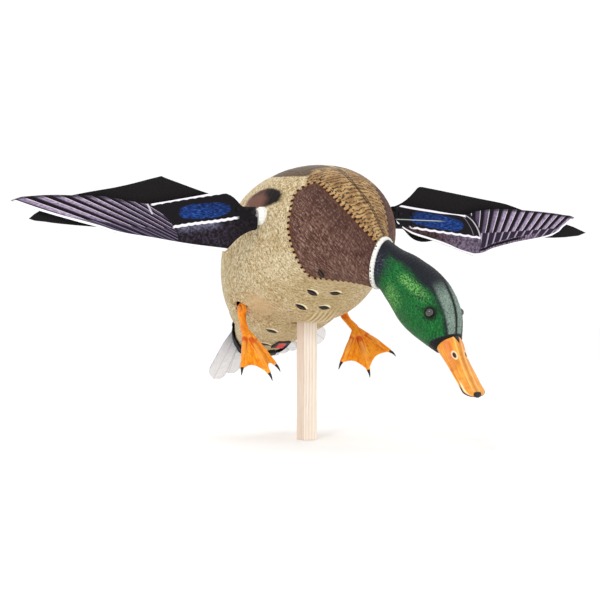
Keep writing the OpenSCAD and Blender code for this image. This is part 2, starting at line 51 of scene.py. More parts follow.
# Stations: x, y, z, yaw, pitch, half width, half height up, half height down, squareness above
BODY = [
    [0, 120, 167, 0, 22, 60, 58, 50, 2.2], [0, 80, 196, 0, 18, 88, 84, 68, 2.5],
    [0, 38, 226, 0, 12, 96, 102, 79, 2.6], [0, -10, 246, 0, 6, 95, 100, 94, 2.3],
    [-1.5, -55, 256, 0, -2, 86.5, 87, 86, 2.1], [-3, -92, 252, 0, -14, 72, 72, 67, 2],
    [1, -120, 242, 15, -24, 51, 52, 50, 2], [8.5, -138, 231, 28, -19, 37.5, 38, 38, 2],
    [14, -150, 222, 38, -11, 31, 31, 31, 2],
]
TAIL = [
    [0, 168, 112, 0, 33, 20, 12, 10, 2], [0, 150, 124, 0, 33, 36, 22, 20, 2],
    [0, 120, 146, 0, 33, 50, 36, 34, 2], [0, 90, 166, 0, 33, 58, 46, 44, 2],
    [0, 70, 180, 0, 33, 50, 42, 42, 2],
]
HEAD = [
    [14, -150, 222, 38, -11, 30.5, 30.5, 30.5, 2], [22, -161, 214, 35, -27, 26.5, 27.5, 26.5, 2],
    [32, -176, 200, 30, -37, 27.5, 33, 31, 2], [42, -194, 180, 24, -42, 30.5, 38.5, 36, 2],
    [48, -209, 163, 19, -45, 31, 38, 34, 2], [53, -225, 144, 15, -48, 26, 30, 27, 2],
    [55, -236, 127, 14, -48, 19, 17, 16, 2],
]
BILL = [
    [54, -232, 132, 14, -48, 16, 12, 12, 2], [55.5, -239, 124, 14, -48, 17.5, 15, 12, 2],
    [57, -252, 107, 14, -50, 16.5, 10, 8, 2], [60, -266, 89, 14, -50, 18, 6, 5, 2],
    [61.5, -278, 75, 14, -48, 18, 4.5, 4, 2],
]
NECK = np.array([14.0, -150.0, 222.0])

# Sizes shared with the CAD part, in mm and degrees
SHELL_WALL = 3.0
COVER = (-46, 46, -72, 60)
COVER_CORNER, COVER_GAP = 14, 0.4
SHAFT_HOLE_R, HIP_HOLE_R = 11.6, 10.5
SWITCH, PLUG = (3, 93, 120.2), (7, 131, 108)
PLUG_HOLE_R = 6.1
RIB_PITCH = 6.6
FAN_ROLL, FAN_RISE, FAN_STEP, FAN_REACH = 17, 10, 8.4, 98
EYE_AT, EYE_SIDE, EYE_UP = 4.57, 26.2, 16.2
NOSTRIL_AT = 1.87
FLOOR_R, FLOOR_Z = 9000, -0.3


# ---------------------------------------------------------------- curves and meshes

def spline(st, u):
    """Catmull-Rom rows of a table at the values u."""
    st, u = np.asarray(st, float), np.atleast_1d(np.asarray(u, float))
    last = len(st) - 1
    i = np.clip(np.floor(u).astype(int), 0, last - 1)
    t = (u - i)[:, None]
    a, b, c, d = st[np.maximum(i - 1, 0)], st[i], st[i + 1], st[np.minimum(i + 2, last)]
    return 0.5 * (2 * b + (c - a) * t + (2 * a - 5 * b + 4 * c - d) * t**2 + (3 * b - a - 3 * c + d)
        * t**3)


def axes(rows):
    """Unit vectors ahead, to the side and up for each row."""
    yaw, pitch = np.radians(rows[:, 3]), np.radians(rows[:, 4])
    ahead = np.stack([np.sin(yaw) * np.cos(pitch), -np.cos(yaw) * np.cos(pitch), np.sin(pitch)], 1)
    side = np.stack([np.cos(yaw), np.sin(yaw), 0 * yaw], 1)
    return ahead, side, np.cross(ahead, side)


def sections(rows, ang, inset=0.0):
    """Points of each row's section at the angles ang, in mm of the world frame."""
    _, side, up = axes(rows)
    ca, sa = np.cos(ang)[None], np.sin(ang)[None]
    above = sa > 0
    e = np.where(above, 2 / rows[:, 8:9], 1.0)
    high = np.where(above, rows[:, 6:7], rows[:, 7:8]) - inset
    wide = rows[:, 5:6] - inset
    x = np.maximum(wide, 0.3) * np.sign(ca) * np.abs(ca) ** e
    y = np.maximum(high, 0.3) * np.sign(sa) * np.abs(sa) ** e
    p = rows[:, None, :3] + side[:, None] * x[..., None] + up[:, None] * y[..., None]
    p[..., 1] -= BACK
    return p


def around(count):
    """Angles spread evenly over a squarish section, starting under the belly."""
    t = np.arange(count) / count * 2 * math.pi - math.pi / 2
    s, c = np.sin(t), np.cos(t)
    k = np.where(s > 0, 1.2, 1.0)
    return np.arctan2(np.sign(s) * np.abs(s) ** k, np.sign(c) * np.abs(c) ** k)


def rows_of(st, count, rear=0.0, front=0.0, caps=9):
    """Rows along a form with its rounded ends, and the table value of each."""
    st = np.asarray(st, float)
    last = len(st) - 1
    u = np.linspace(0, last, count)
    rows = [spline(st, u)]
    values = [u]
    for reach, row, at, sign in ((rear, st[0], 0, -1), (front, st[-1], last, 1)):
        if reach:
            a = np.radians(np.linspace(4, 88, caps))
            ahead = axes(row[None])[0][0]
            k = np.maximum(np.cos(a), 0.03)
            r = np.repeat(row[None], caps, 0)
            r[:, :3] += ahead * (sign * reach * np.sin(a))[:, None]
            r[:, 5:8] *= k[:, None]
            v = at + sign * np.sin(a) * 0.3
            if sign < 0:
                rows.insert(0, r[::-1])
                values.insert(0, v[::-1])
            else:
                rows.append(r)
                values.append(v)
    return np.concatenate(rows), np.concatenate(values)


def normals_of(p):
    """Outward unit normals of a grid that closes in its second direction."""
    du = np.gradient(p, axis=0)
    da = np.roll(p, -1, 1) - np.roll(p, 1, 1)
    n = np.cross(da, du)
    n /= np.maximum(np.linalg.norm(n, axis=2, keepdims=True), 1e-9)
    mid = p.mean(axis=1, keepdims=True)
    return n * np.sign(((p - mid) * n).sum())


def mesh_object(name, verts, faces, smooth=True):
    """A new object from vertices in mm."""
    me = bpy.data.meshes.new(name)
    me.from_pydata([tuple(v) for v in np.asarray(verts) * MM], [], [tuple(f) for f in faces])
    me.validate()
    me.polygons.foreach_set("use_smooth", [smooth] * len(me.polygons))
    me.update()
    ob = bpy.data.objects.new(name, me)
    bpy.context.collection.objects.link(ob)
    return ob


def grid_faces(m, n, start=0, flip=False, closed=True):
    """Faces of a grid of m rows of n points."""
    out = []
    for i in range(m - 1):
        for k in range(n if closed else n - 1):
            a, b = start + i * n + k, start + i * n + (k + 1) % n
            q = (a, b, b + n, a + n)
            out.append(q[::-1] if flip else q)
    return out


def lids(m, n):
    """The two end faces of a grid of m closed rows of n points."""
    return [tuple(range(n))[::-1], tuple((m - 1) * n + k for k in range(n))]


def last_to_first(m, n):
    """Faces that join the last row of a grid to its first."""
    return [((m - 1) * n + k, (m - 1) * n + (k + 1) % n, (k + 1) % n, k) for k in range(n)]


def outward(ob):
    """Turns the faces of a closed piece outward."""
    bm = bmesh.new()
    bm.from_mesh(ob.data)
    bmesh.ops.recalc_face_normals(bm, faces=bm.faces)
    bm.to_mesh(ob.data)
    bm.free()


def attribute(ob, name, values):
    """Stores one number per vertex for the materials."""
    at = ob.data.attributes.new(name, "FLOAT", "POINT")
    at.data.foreach_set("value", np.asarray(values, np.float32).ravel())


def coords(ob):
    """The vertices of a piece in mm."""
    co = np.zeros(len(ob.data.vertices) * 3, np.float32)
    ob.data.vertices.foreach_get("co", co)
    return co.reshape(-1, 3) / MM


def tree_of(points):
    """A search tree of points."""
    tree = kdtree.KDTree(len(points))
    for i, q in enumerate(points):
        tree.insert(q, i)
    tree.balance()
    return tree


def push_out(ob, co, push):
    """Moves each vertex from co along its normal by push mm."""
    me = ob.data
    normals = np.zeros(len(me.vertices) * 3, np.float32)
    me.vertex_normals.foreach_get("vector", normals)
    move_to(ob, co + normals.reshape(-1, 3) * push[:, None])


def move_to(ob, co):
    """Puts the vertices at co, in mm."""
    ob.data.vertices.foreach_set("co", (co * MM).astype(np.float32).ravel())
    ob.data.update()


def boolean(ob, cutter, kind):
    """Cuts a piece by another, or keeps what both share."""
    mod = ob.modifiers.new("cut", "BOOLEAN")
    mod.operation, mod.solver, mod.object = kind, "EXACT", cutter
    bake_modifiers(ob)


def bake_modifiers(ob):
    """Makes the modified mesh the real one."""
    dg = bpy.context.evaluated_depsgraph_get()
    me = bpy.data.meshes.new_from_object(ob.evaluated_get(dg))
    old = ob.data
    ob.modifiers.clear()
    ob.data = me
    bpy.data.meshes.remove(old)


def thicken(ob, metres):
    """Gives a sheet its thickness, half to each side."""
    mod = ob.modifiers.new("thick", "SOLIDIFY")
    mod.thickness, mod.offset = metres, 0
    bake_modifiers(ob)


def drop(ob):
    """Deletes an object and its mesh."""
    me = ob.data
    bpy.data.objects.remove(ob)
    bpy.data.meshes.remove(me)


def tube(name, path, radii, seg=16, up=(0, 0, 1), own_frame=True):
    """A sweep along a path of points with a radius at each."""
    path = np.asarray(path, float)
    count = max(24, len(path) * 8)
    t = np.linspace(0, len(path) - 1, count)
    p = spline(path, t)
    r = np.interp(t, np.arange(len(path)), radii)
    d = np.gradient(p, axis=0)
    d /= np.linalg.norm(d, axis=1, keepdims=True)
    side = np.cross(d, np.asarray(up, float))
    side /= np.maximum(np.linalg.norm(side, axis=1, keepdims=True), 1e-6)
    top = np.cross(side, d)
    a = np.arange(seg) / seg * 2 * math.pi
    ring = side[:, None] * np.cos(a)[None, :, None] + top[:, None] * np.sin(a)[None, :, None]
    v = p[:, None] + ring * r[:, None, None]
    if own_frame:
        v[..., 1] -= BACK
    verts = v.reshape(-1, 3)
    faces = grid_faces(count, seg)
    faces += lids(count, seg)
    ob = mesh_object(name, verts, faces)
    outward(ob)
    return ob


# ---------------------------------------------------------------- materials

def rgb(r, g, b):
    """A colour of the screen, 0 to 255, as linear light."""
    lin = [((c / 255 + 0.055) / 1.055) ** 2.4 if c > 10 else c / 255 / 12.92 for c in (r, g, b)]
    return (*lin, 1.0)


class Value:
    """A node output that takes part in sums."""

    def __init__(self, mat, socket):
        self.mat, self.socket = mat, socket

    def __add__(self, o): return self.mat.math("ADD", self, o)
    def __radd__(self, o): return self.mat.math("ADD", o, self)
    def __sub__(self, o): return self.mat.math("SUBTRACT", self, o)
    def __rsub__(self, o): return self.mat.math("SUBTRACT", o, self)
    def __mul__(self, o): return self.mat.math("MULTIPLY", self, o)
    def __rmul__(self, o): return self.mat.math("MULTIPLY", o, self)
    def __truediv__(self, o): return self.mat.math("DIVIDE", self, o)
    def __neg__(self): return self.mat.math("MULTIPLY", self, -1.0)


class Mat:
    """A node material written as sums."""

    def __init__(self, name, **sockets):
        self.m = bpy.data.materials.new(name)
        self.m.use_nodes = True
        self.nt = self.m.node_tree
        self.shader = self.nt.nodes["Principled BSDF"]
        self.cache = {}
        for k, v in sockets.items():
            self.shader.inputs[k.replace("_", " ")].default_value = v

    def node(self, kind, **props):
        n = self.nt.nodes.new(kind)
        for k, v in props.items():
            setattr(n, k, v)
        return n

    def put(self, socket, value):
        if isinstance(value, Value):
            self.nt.links.new(value.socket, socket)
        else:
            socket.default_value = value

    def math(self, op, *args):
        n = self.node("ShaderNodeMath", operation=op)
        for s, v in zip(n.inputs, args):
            self.put(s, v)
        return Value(self, n.outputs[0])

    def place(self):
        """The point's own place on the object, in mm."""
        if "place" not in self.cache:
            t = self.node("ShaderNodeTexCoord")
            s = self.node("ShaderNodeVectorMath", operation="SCALE")
            s.inputs["Scale"].default_value = 1000.0
            self.nt.links.new(t.outputs["Object"], s.inputs[0])
            self.cache["place"] = Value(self, s.outputs[0])
            self.cache["facing"] = Value(self, t.outputs["Normal"])
        return self.cache["place"]

    def split(self, v):
        n = self.node("ShaderNodeSeparateXYZ")
        self.nt.links.new(v.socket, n.inputs[0])
        return [Value(self, o) for o in n.outputs]

    def join(self, x, y, z):
        n = self.node("ShaderNodeCombineXYZ")
        for s, v in zip(n.inputs, (x, y, z)):
            self.put(s, v)
        return Value(self, n.outputs[0])

    def scaled(self, v, x, y, z):
        n = self.node("ShaderNodeVectorMath", operation="MULTIPLY")
        self.nt.links.new(v.socket, n.inputs[0])
        n.inputs[1].default_value = (x, y, z)
        return Value(self, n.outputs[0])

    def attr(self, name):
        if name not in self.cache:
            self.cache[name] = Value(self,
                self.node("ShaderNodeAttribute", attribute_name=name).outputs["Fac"])
        return self.cache[name]

    def noise(self, scale, detail=3.0, rough=0.55, where=None, twist=0.0):
        """Noise about one feature in 1/scale mm."""
        n = self.node("ShaderNodeTexNoise")
        self.nt.links.new((where or self.place()).socket, n.inputs["Vector"])
        n.inputs["Scale"].default_value = scale
        n.inputs["Detail"].default_value = detail
        n.inputs["Roughness"].default_value = rough
        n.inputs["Distortion"].default_value = twist
        return Value(self, n.outputs["Fac"])

    def cells(self, scale, where=None, out="Distance", feature="F1"):
        n = self.node("ShaderNodeTexVoronoi", feature=feature)
        self.nt.links.new((where or self.place()).socket, n.inputs["Vector"])
        n.inputs["Scale"].default_value = scale
        return Value(self, n.outputs[out])

    def step(self, x, lo, hi):
        """0 below lo to 1 above hi; runs down where lo is above hi."""
        n = self.node("ShaderNodeMapRange", interpolation_type="SMOOTHSTEP")
        self.put(n.inputs["Value"], x)
        a, b = (lo, hi) if lo < hi else (hi, lo)
        n.inputs["From Min"].default_value = a
        n.inputs["From Max"].default_value = b
        n.inputs["To Min"].default_value = 0.0 if lo < hi else 1.0
        n.inputs["To Max"].default_value = 1.0 if lo < hi else 0.0
        return Value(self, n.outputs["Result"])

    def both(self, *parts):
        out = parts[0]
        for p in parts[1:]:
            out = out * p
        return out

    def near(self, x, at, lo, hi):
        """A step on the distance of x from at."""
        return self.step(self.size(x - at), lo, hi)

    def two(self, x, lo, hi, first, second):
        """One colour that gives way to another as x goes from lo to hi."""
        return self.mix(self.step(x, lo, hi), rgb(*first), rgb(*second))

    def either(self, a, b): return self.math("MAXIMUM", a, b)
    def size(self, x): return self.math("ABSOLUTE", x)
    def wrap(self, x): return self.math("FRACT", x)
    def sin(self, x): return self.math("SINE", x)

    def mix(self, fac, a, b):
        n = self.node("ShaderNodeMix", data_type="RGBA")
        n.clamp_factor = True
        self.put(n.inputs[0], fac)
        self.put(n.inputs[6], a)
        self.put(n.inputs[7], b)
        return Value(self, n.outputs[2])

    def curve(self, x, pts):
        """A height that follows points, for a painted outline."""
        x0, x1 = pts[0][0], pts[-1][0]
        ys = [p[1] for p in pts]
        y0, y1 = min(ys) - 1, max(ys) + 1
        n = self.node("ShaderNodeFloatCurve")
        c = n.mapping.curves[0]
        while len(c.points) < len(pts):
            c.points.new(0.5, 0.5)
        for p, (a, b) in zip(c.points, pts):
            p.location = ((a - x0) / (x1 - x0), (b - y0) / (y1 - y0))
        n.mapping.update()
        self.put(n.inputs["Value"], (x - x0) / (x1 - x0))
        return Value(self, n.outputs[0]) * (y1 - y0) + y0

    def done(self, colour=None, rough=None, bump=None, depth=0.2, slot=None, metal=None):
        if colour is not None:
            self.put(self.shader.inputs["Base Color"], colour)
        if rough is not None:
            self.put(self.shader.inputs["Roughness"], rough)
        if metal is not None:
            self.put(self.shader.inputs["Metallic"], metal)
        if bump is not None:
            n = self.node("ShaderNodeBump")
            n.inputs["Strength"].default_value = 1.0
            n.inputs["Distance"].default_value = depth * MM
            self.put(n.inputs["Height"], bump)
            self.nt.links.new(n.outputs[0], self.shader.inputs["Normal"])
        self.slot = slot
        return self


def finish_with(ob, mat, body=None, replaces=()):
    """Gives a piece its material and body, and hides the CAD nodes it stands for."""
    ob.data.materials.clear()
    ob.data.materials.append(mat.m)
    if body:
        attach(ob, body)
    if replaces:
        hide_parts(*replaces)
    return ob


def coat(names, mat):
    """Gives CAD nodes a material."""
    for name in names:
        ob = NODES[name]
        for s in ob.material_slots:
            s.material = mat.m
        if not ob.material_slots:
            ob.data.materials.append(mat.m)


def tan_plumage():
    m = Mat("tan_plumage", Specular_IOR_Level=0.12)
    along, round_, chest = m.attr("along"), m.attr("round"), m.attr("chest")
    run, mantle = m.attr("run"), m.attr("mantle")
    fine = m.noise(0.42, 3, 0.7)
    soft = m.noise(0.035, 3)
    waves = m.noise(0.3, 3, 0.65, m.join(along * 1.1, round_ * 0.9, 0.0), 1.2)
    c = m.two(soft, 0.3, 0.7, (186, 164, 122), (208, 192, 156))
    c = m.mix(m.step(fine, 0.5, 0.62) * 0.8, c, rgb(132, 106, 66))
    c = m.mix(m.step(waves, 0.52, 0.62) * 0.7, c, rgb(128, 102, 66))
    c = m.mix(m.step(waves, 0.47, 0.38) * 0.7, c, rgb(232, 220, 188))
    # painted shade and highlight on the cuff's ribs: light on their crests, dark in the grooves between
    c = m.mix(m.attr("cuff") * 0.8, c,
        m.two(m.size(m.sin(m.split(m.place())[0] * (math.pi / RIB_PITCH))), 0.55, 0.9, (244, 230, 196),
        (168, 138, 92)))
    c = m.mix(m.attr("flush") * 0.6, c, rgb(214, 184, 140))
    # painted shade: darker towards the underside
    c = m.mix(m.attr("under") * 0.35, c, rgb(170, 140, 84))
    # painted shade: dark brown patches over the back above the wing roots, darkest round each wing root
    c = m.mix(m.step(m.attr("back_shade_patch") + (fine - 0.5) * 0.6, 0.2, 0.55) * 0.92, c,
        m.two(fine, 0.4, 0.62, (34, 23, 18), (96, 70, 48)))
    root = m.step(m.attr("root") + (m.noise(0.16, 3) - 0.5) * 0.3, 0.12, 0.5)
    c = m.mix(root, c, m.two(m.attr("root_shade_depth"), 0.1, 0.9, (112, 76, 64), (22, 14, 12)))
    # mantle: dark wavy lines over brown
    w = m.sin(along * 1.55 + m.noise(0.13, 3) * 13.0)
    dash = m.noise(0.5, 2, 0.5, m.join(along * 0.6, round_ * 1.4, 0.0))
    lines = m.both(m.step(w, 0.05, 0.75), m.step(dash, 0.34, 0.52))
    mc = m.two(m.noise(0.09, 3), 0.35, 0.65, (140, 106, 68), (186, 152, 104))
    mc = m.mix(lines * 0.92, mc, rgb(54, 36, 24))
    c = m.mix(m.step(mantle + (fine - 0.5) * 0.5, 0.3, 0.7), c, mc)
    mid = m.step(m.size(round_ - m.noise(0.05, 2) * 3.0), 1.6, 0.6)
    c = m.mix(m.both(mid, m.step(mantle, 0.5, 0.9)) * 0.8, c, rgb(52, 36, 26))
    # breast: chestnut with wavy barbs and a dotted scalloped edge
    scallop = m.size(m.sin(run * (math.pi / 7.2))) * 1.6
    inside = m.step(chest + scallop - 0.8, -0.5, 0.7)
    b = m.noise(0.36, 3, 0.65, m.join(along * 0.6, round_ * 1.5, 0.0), 1.0)
    cc = m.two(m.noise(0.05, 3), 0.35, 0.65, (92, 60, 50), (116, 84, 72))
    ripple = m.step(m.sin(along * 2.1 + m.noise(0.16, 3) * 16.0), -0.1, 0.8)
    cc = m.mix(m.step(b, 0.52, 0.61) * 0.75, cc, rgb(160, 130, 116))
    cc = m.mix(m.either(ripple * 0.6, m.step(b, 0.47, 0.38)) * 0.85, cc, rgb(50, 30, 26))
    cc = m.mix(m.step(m.size(round_), 82.0, 44.0) * 0.5, cc, rgb(52, 28, 24))
    cc = m.mix(m.step(chest, 9.0, 1.0) * 0.45, cc, rgb(84, 50, 32))
    c = m.mix(m.step(chest, -4.5, -1.0) * 0.55, c, rgb(178, 122, 66))
    c = m.mix(inside, c, cc)
    dot = m.both(
        m.step(m.size(m.wrap(run / 7.2) - 0.5) * 7.2, 1.75, 1.25),
        m.step(m.size(chest + 1.5), 2.3, 1.8),
    )
    c = m.mix(dot, c, rgb(30, 20, 16))
    dot2 = m.both(
        m.step(m.size(m.wrap(run / 7.2 + 0.5) - 0.5) * 7.2, 1.3, 0.9),
        m.step(m.size(chest + 8.0), 1.3, 0.9), m.step(mantle, 0.35, 0.6),
    )
    c = m.mix(dot2, c, rgb(38, 26, 20))
    # almond marks with a cream lower rim
    mu, mv = m.attr("mark_u"), m.attr("mark_v")
    near = m.step(m.attr("mark_near"), 11.5, 10.5)
    leaf = 1.0 - mu * mu / 78.0
    rim = m.both(m.step(m.size(mv - 2.2) - leaf * 4.6, 0.3, -0.3), near, m.step(m.size(mu), 10.4, 9.4),
        m.step(chest, 0.0, -3.0))
    dark = m.both(m.step(m.size(mv + mu * 0.12) - leaf * 4.1, 0.3, -0.3), near)
    c = m.mix(rim, c, rgb(240, 226, 190))
    c = m.mix(dark, c, rgb(28, 20, 18))
    c = m.mix(m.both(m.step(m.size(mv + 0.8) - leaf * 1.0, 0.2, -0.2), near) * 0.5, c, rgb(92, 82, 78))
    height = fine * 0.5 + waves * 0.35 + b * 0.35
    return m.done(c, m.step(fine, 0.2, 0.8) * 0.2 + 0.52, height, 0.55, "body_tan")


def head_plumage():
    m = Mat("head_plumage", Specular_IOR_Level=0.22)
    hu, ht = m.attr("hu"), m.attr("ht")
    along, across = m.attr("along"), m.attr("round")
    barb = m.noise(0.6, 4, 0.7, m.join(along * 0.6, across * 1.8, 0.0), 1.0)
    speck = m.noise(0.9, 3, 0.7)
    wide = m.noise(0.045, 2)
    c = m.two(barb, 0.42, 0.6, (1, 36, 14), (10, 126, 50))
    c = m.mix(m.step(speck, 0.56, 0.7) * 0.5, c, rgb(52, 176, 88))
    # painted highlights: yellow-green sheen and pale glints over the cheek, above and behind the eye
    cheek = m.both(m.step(hu, 1.9, 2.5), m.step(hu, 4.4, 3.0),
        m.step(m.size(ht - 66.0 + (hu - 2.8) * 8.0), 15.0, 3.0))
    jaw = m.both(m.step(hu, 1.6, 2.2), m.step(hu, 3.3, 2.4), m.near(ht, 118.0, 32.0, 10.0))
    cheek_sheen = m.either(cheek, jaw * 0.85)
    c = m.mix(m.both(cheek_sheen, m.step(barb, 0.46, 0.6)) * 0.8, c, rgb(120, 206, 92))
    c = m.mix(m.both(cheek_sheen, m.step(speck, 0.58, 0.68)) * 0.85, c, rgb(222, 240, 190))
    # nape, crown and the back of the neck go to blue-black
    nape = m.step(ht + wide * 24.0 + speck * 18.0 - 21.0 + m.step(hu, 2.0, 4.5) * 10.0, 62.0, 42.0)
    collar = m.step(hu + wide * 0.7 + speck * 0.5 - 0.6, 1.7, 0.8)
    dark = m.either(nape, collar)
    dk = m.two(barb, 0.44, 0.64, (3, 4, 8), (18, 24, 44))
    # painted glints: pale blue-grey and grey-green speckles over the dark nape
    dk = m.mix(m.both(m.step(speck, 0.54, 0.64), m.step(hu, 3.0, 0.6), m.step(ht, 40.0, 80.0)) * 0.8,
        dk, rgb(112, 118, 140))
    dk = m.mix(m.both(m.step(speck, 0.58, 0.66), m.step(hu, 2.2, 3.2)) * 0.5, dk, rgb(58, 84, 78))
    c = m.mix(dark, c, dk)
    throat = m.both(m.step(ht, 100.0, 128.0), collar)
    c = m.mix(throat * 0.6, c, rgb(10, 48, 28))
    # pale strips each side of a dark line down the crown
    strip = m.both(m.near(ht - 19.0 + speck * 8.0, 4.0, 19.0, 9.0), m.step(hu, 3.2, 4.4))
    c = m.mix(m.both(strip, m.step(speck, 0.34, 0.58)) * 0.85, c, rgb(150, 174, 158))
    c = m.mix(m.both(m.step(ht, 4.0, 2.4), m.step(hu, 2.6, 3.6)), c, rgb(4, 10, 8))
    # eye surround and the black edge at the bill
    c = m.mix(m.step(m.attr("eye") + speck * 3.0 - 1.5, 12.0, 5.5) * 0.95, c, rgb(2, 10, 5))
    edge = m.step(m.attr("gape") + (wide - 0.5) * 1.5, 4.4, 2.8)
    c = m.mix(edge, c, rgb(7, 8, 9))
    c = m.mix(m.both(m.near(m.attr("gape"), 3.2, 0.9, 0.4), m.step(barb, 0.5, 0.6)) * 0.5, c,
        rgb(96, 84, 120))
    return m.done(c, m.step(speck, 0.25, 0.75) * 0.25 + 0.38, barb * 0.8 + speck * 0.3, 0.9,
        "head_green")


def bill_horn():
    m = Mat("bill_horn", Specular_IOR_Level=0.35)
    bu, bt = m.attr("hu"), m.attr("ht")
    along, across = m.attr("along"), m.attr("round")
    grain = m.noise(0.25, 4, 0.6, m.join(along * 0.25, across * 2.0, 0.0))
    cloud = m.noise(0.08, 3)
    c = m.two(grain, 0.35, 0.68, (218, 132, 30), (240, 168, 66))
    c = m.mix(m.step(cloud, 0.48, 0.62) * 0.6, c, rgb(196, 108, 34))
    flush = m.both(m.near(bu, 1.5, 0.75, 0.25), m.near(bt, 52.0, 26.0, 8.0))
    c = m.mix(m.both(flush, m.step(grain, 0.3, 0.6)) * 0.8, c, rgb(206, 84, 28))
    c = m.mix(m.near(bt, 16.0, 6.0, 2.0) * 0.5, c, rgb(255, 206, 120))
    c = m.mix(m.step(bt, 7.0, 3.0) * 0.55, c, rgb(176, 112, 34))
    groove = m.step(m.size(bt - 84.0 + m.step(bu, 2.4, 4.0) * 16.0), 5.0, 1.5)
    c = m.mix(m.both(groove, m.step(bu, 1.6, 2.8)) * 0.7, c, rgb(188, 96, 34))
    lip = m.step(m.size(bt - 98.0 + m.step(bu, 2.4, 4.0) * 16.0), 8.0, 4.0)
    c = m.mix(m.both(lip, m.step(bu, 2.2, 3.2)) * 0.8, c, rgb(255, 214, 140))
    # painted highlight: a pale line along the bill's edge towards the tip
    c = m.mix(m.both(m.near(bt, 64.0, 9.0, 4.0), m.step(bu, 3.1, 3.6)), c, rgb(252, 222, 176))
    tip = m.both(m.step(bt, 72.0, 80.0), m.step(bu, 3.3, 3.8))
    c = m.mix(tip, c, rgb(44, 24, 16))
    point_ = m.step(bu - m.step(bt, 24.0, 0.0) * 0.75, 0.62, 0.52)
    c = m.mix(m.step(grain, 0.62, 0.7) * 0.3, c, rgb(176, 96, 30))
    c = m.mix(point_, c, rgb(12, 20, 14))
    # painted highlight on the raised rim round each nostril
    c = m.mix(m.step(m.attr("nostril"), 5.6, 4.4) * 0.8, c, rgb(252, 222, 180))
    c = m.mix(m.step(m.attr("nostril"), 3.6, 2.7), c, rgb(54, 22, 14))
    return m.done(c, m.step(grain, 0.2, 0.8) * 0.16 + 0.3, grain * 0.8 + cloud * 0.3, 0.25,
        "bill_yellow")


def web_skin():
    m = Mat("web_skin", Specular_IOR_Level=0.25, Subsurface_Weight=0.05)
    m.shader.inputs["Subsurface Radius"].default_value = (0.004, 0.0015, 0.0006)
    ten = m.attr("tendon")
    scales = m.cells(0.5)
    grain = m.noise(0.22, 4, 0.6)
    folds = m.noise(0.3, 3, 0.6, m.join(m.attr("along") * 0.12, m.attr("round") * 1.0, 0.0))
    c = m.two(grain, 0.35, 0.65, (236, 128, 10), (248, 158, 26))
    c = m.mix(m.step(folds, 0.52, 0.66) * 0.7, c, rgb(255, 192, 72))
    c = m.mix(m.step(folds, 0.45, 0.33) * 0.75, c, rgb(216, 88, 12))
    c = m.mix(m.step(ten, 0.35, 0.95) * 0.85, c, rgb(200, 62, 12))
    c = m.mix(m.both(m.step(ten, 0.2, 0.5), m.step(ten, 0.8, 0.6)) * 0.35, c, rgb(255, 196, 96))
    c = m.mix(m.attr("shade") * 0.75, c, rgb(190, 62, 22))
    return m.done(c, m.step(scales, 0.1, 0.7) * 0.2 + 0.34, scales * 0.5 + folds * 0.5, 0.3,
        "foot_orange")


def white_quill():
    m = Mat("white_quill", Specular_IOR_Level=0.35)
    w, run = m.attr("across"), m.attr("along")
    barb = m.noise(1.0, 3, 0.6, m.join((run + m.size(w) * 0.8) * 1.3, w * 0.12, m.attr("seed")))
    soft = m.noise(0.05, 3)
    c = m.two(barb, 0.35, 0.7, (226, 226, 230), (250, 250, 250))
    c = m.mix(m.step(run + (soft - 0.5) * 20.0, 76.0, 56.0) * 0.55, c, rgb(150, 146, 150))
    c = m.mix(m.step(m.attr("edge"), 1.0, 0.35) * 0.5, c, rgb(142, 136, 142))
    c = m.mix(m.step(m.size(w), 0.9, 0.45) * 0.25, c, rgb(150, 144, 148))
    worm = m.near(m.noise(0.22, 2, 0.5, None, 1.5), 0.5, 0.022, 0.012)
    c = m.mix(m.both(worm, m.step(run, 92.0, 78.0), m.step(m.size(m.attr("seed")), 3.5, 2.5)), c,
        rgb(24, 22, 26))
    c = m.mix(m.both(m.step(barb, 0.6, 0.7), m.step(m.size(w), 3.0, 8.0)) * 0.3, c, rgb(176, 172, 180))
    return m.done(c, m.step(barb, 0.2, 0.8) * 0.2 + 0.42, barb, 0.25, "tail_white")


def black_coverts():
    m = Mat("black_coverts", Specular_IOR_Level=0.15)
    barb = m.noise(0.5, 4, 0.7, m.scaled(m.place(), 1.6, 0.6, 0.6))
    c = m.two(barb, 0.4, 0.7, (12, 12, 14), (44, 42, 46))
    return m.done(c, m.step(barb, 0.2, 0.8) * 0.25 + 0.4, barb, 0.6, "black_plastic")


def ring_plumage():
    m = Mat("ring_plumage", Specular_IOR_Level=0.3)
    run, up = m.attr("run"), m.attr("up")
    barb = m.noise(0.6, 3, 0.6, m.join(run * 1.6, up * 0.4, 0.0))
    c = m.two(barb, 0.4, 0.65, (214, 214, 206), (250, 250, 246))
    dot = m.both(m.step(m.size(m.wrap(run / 4.4) - 0.5) * 4.4, 1.25, 0.8), m.near(up, 1.7, 1.1, 0.8))
    patchy = m.step(m.noise(0.05, 2), 0.38, 0.5)
    c = m.mix(m.both(dot, patchy), c, rgb(34, 28, 28))
    return m.done(c, m.step(barb, 0.2, 0.8) * 0.2 + 0.5, barb, 0.5, "neck_white")


def boot_moulding():
    m = Mat("boot_moulding", Specular_IOR_Level=0.3)
    fine = m.noise(0.6, 4, 0.7)
    x, _, z = m.split(m.place())
    rib = m.sin(x * 1.9 + m.noise(0.1, 2) * 2.0)
    c = m.two(fine, 0.35, 0.65, (206, 182, 138), (230, 212, 176))
    c = m.mix(m.step(rib, 0.1, 0.9) * 0.35, c, rgb(174, 142, 94))
    c = m.mix(m.step(z, 152.0, 149.5) * 0.35, c, rgb(160, 134, 96))
    return m.done(c, m.step(fine, 0.2, 0.8) * 0.2 + 0.55, fine + rib * 0.15, 0.3)


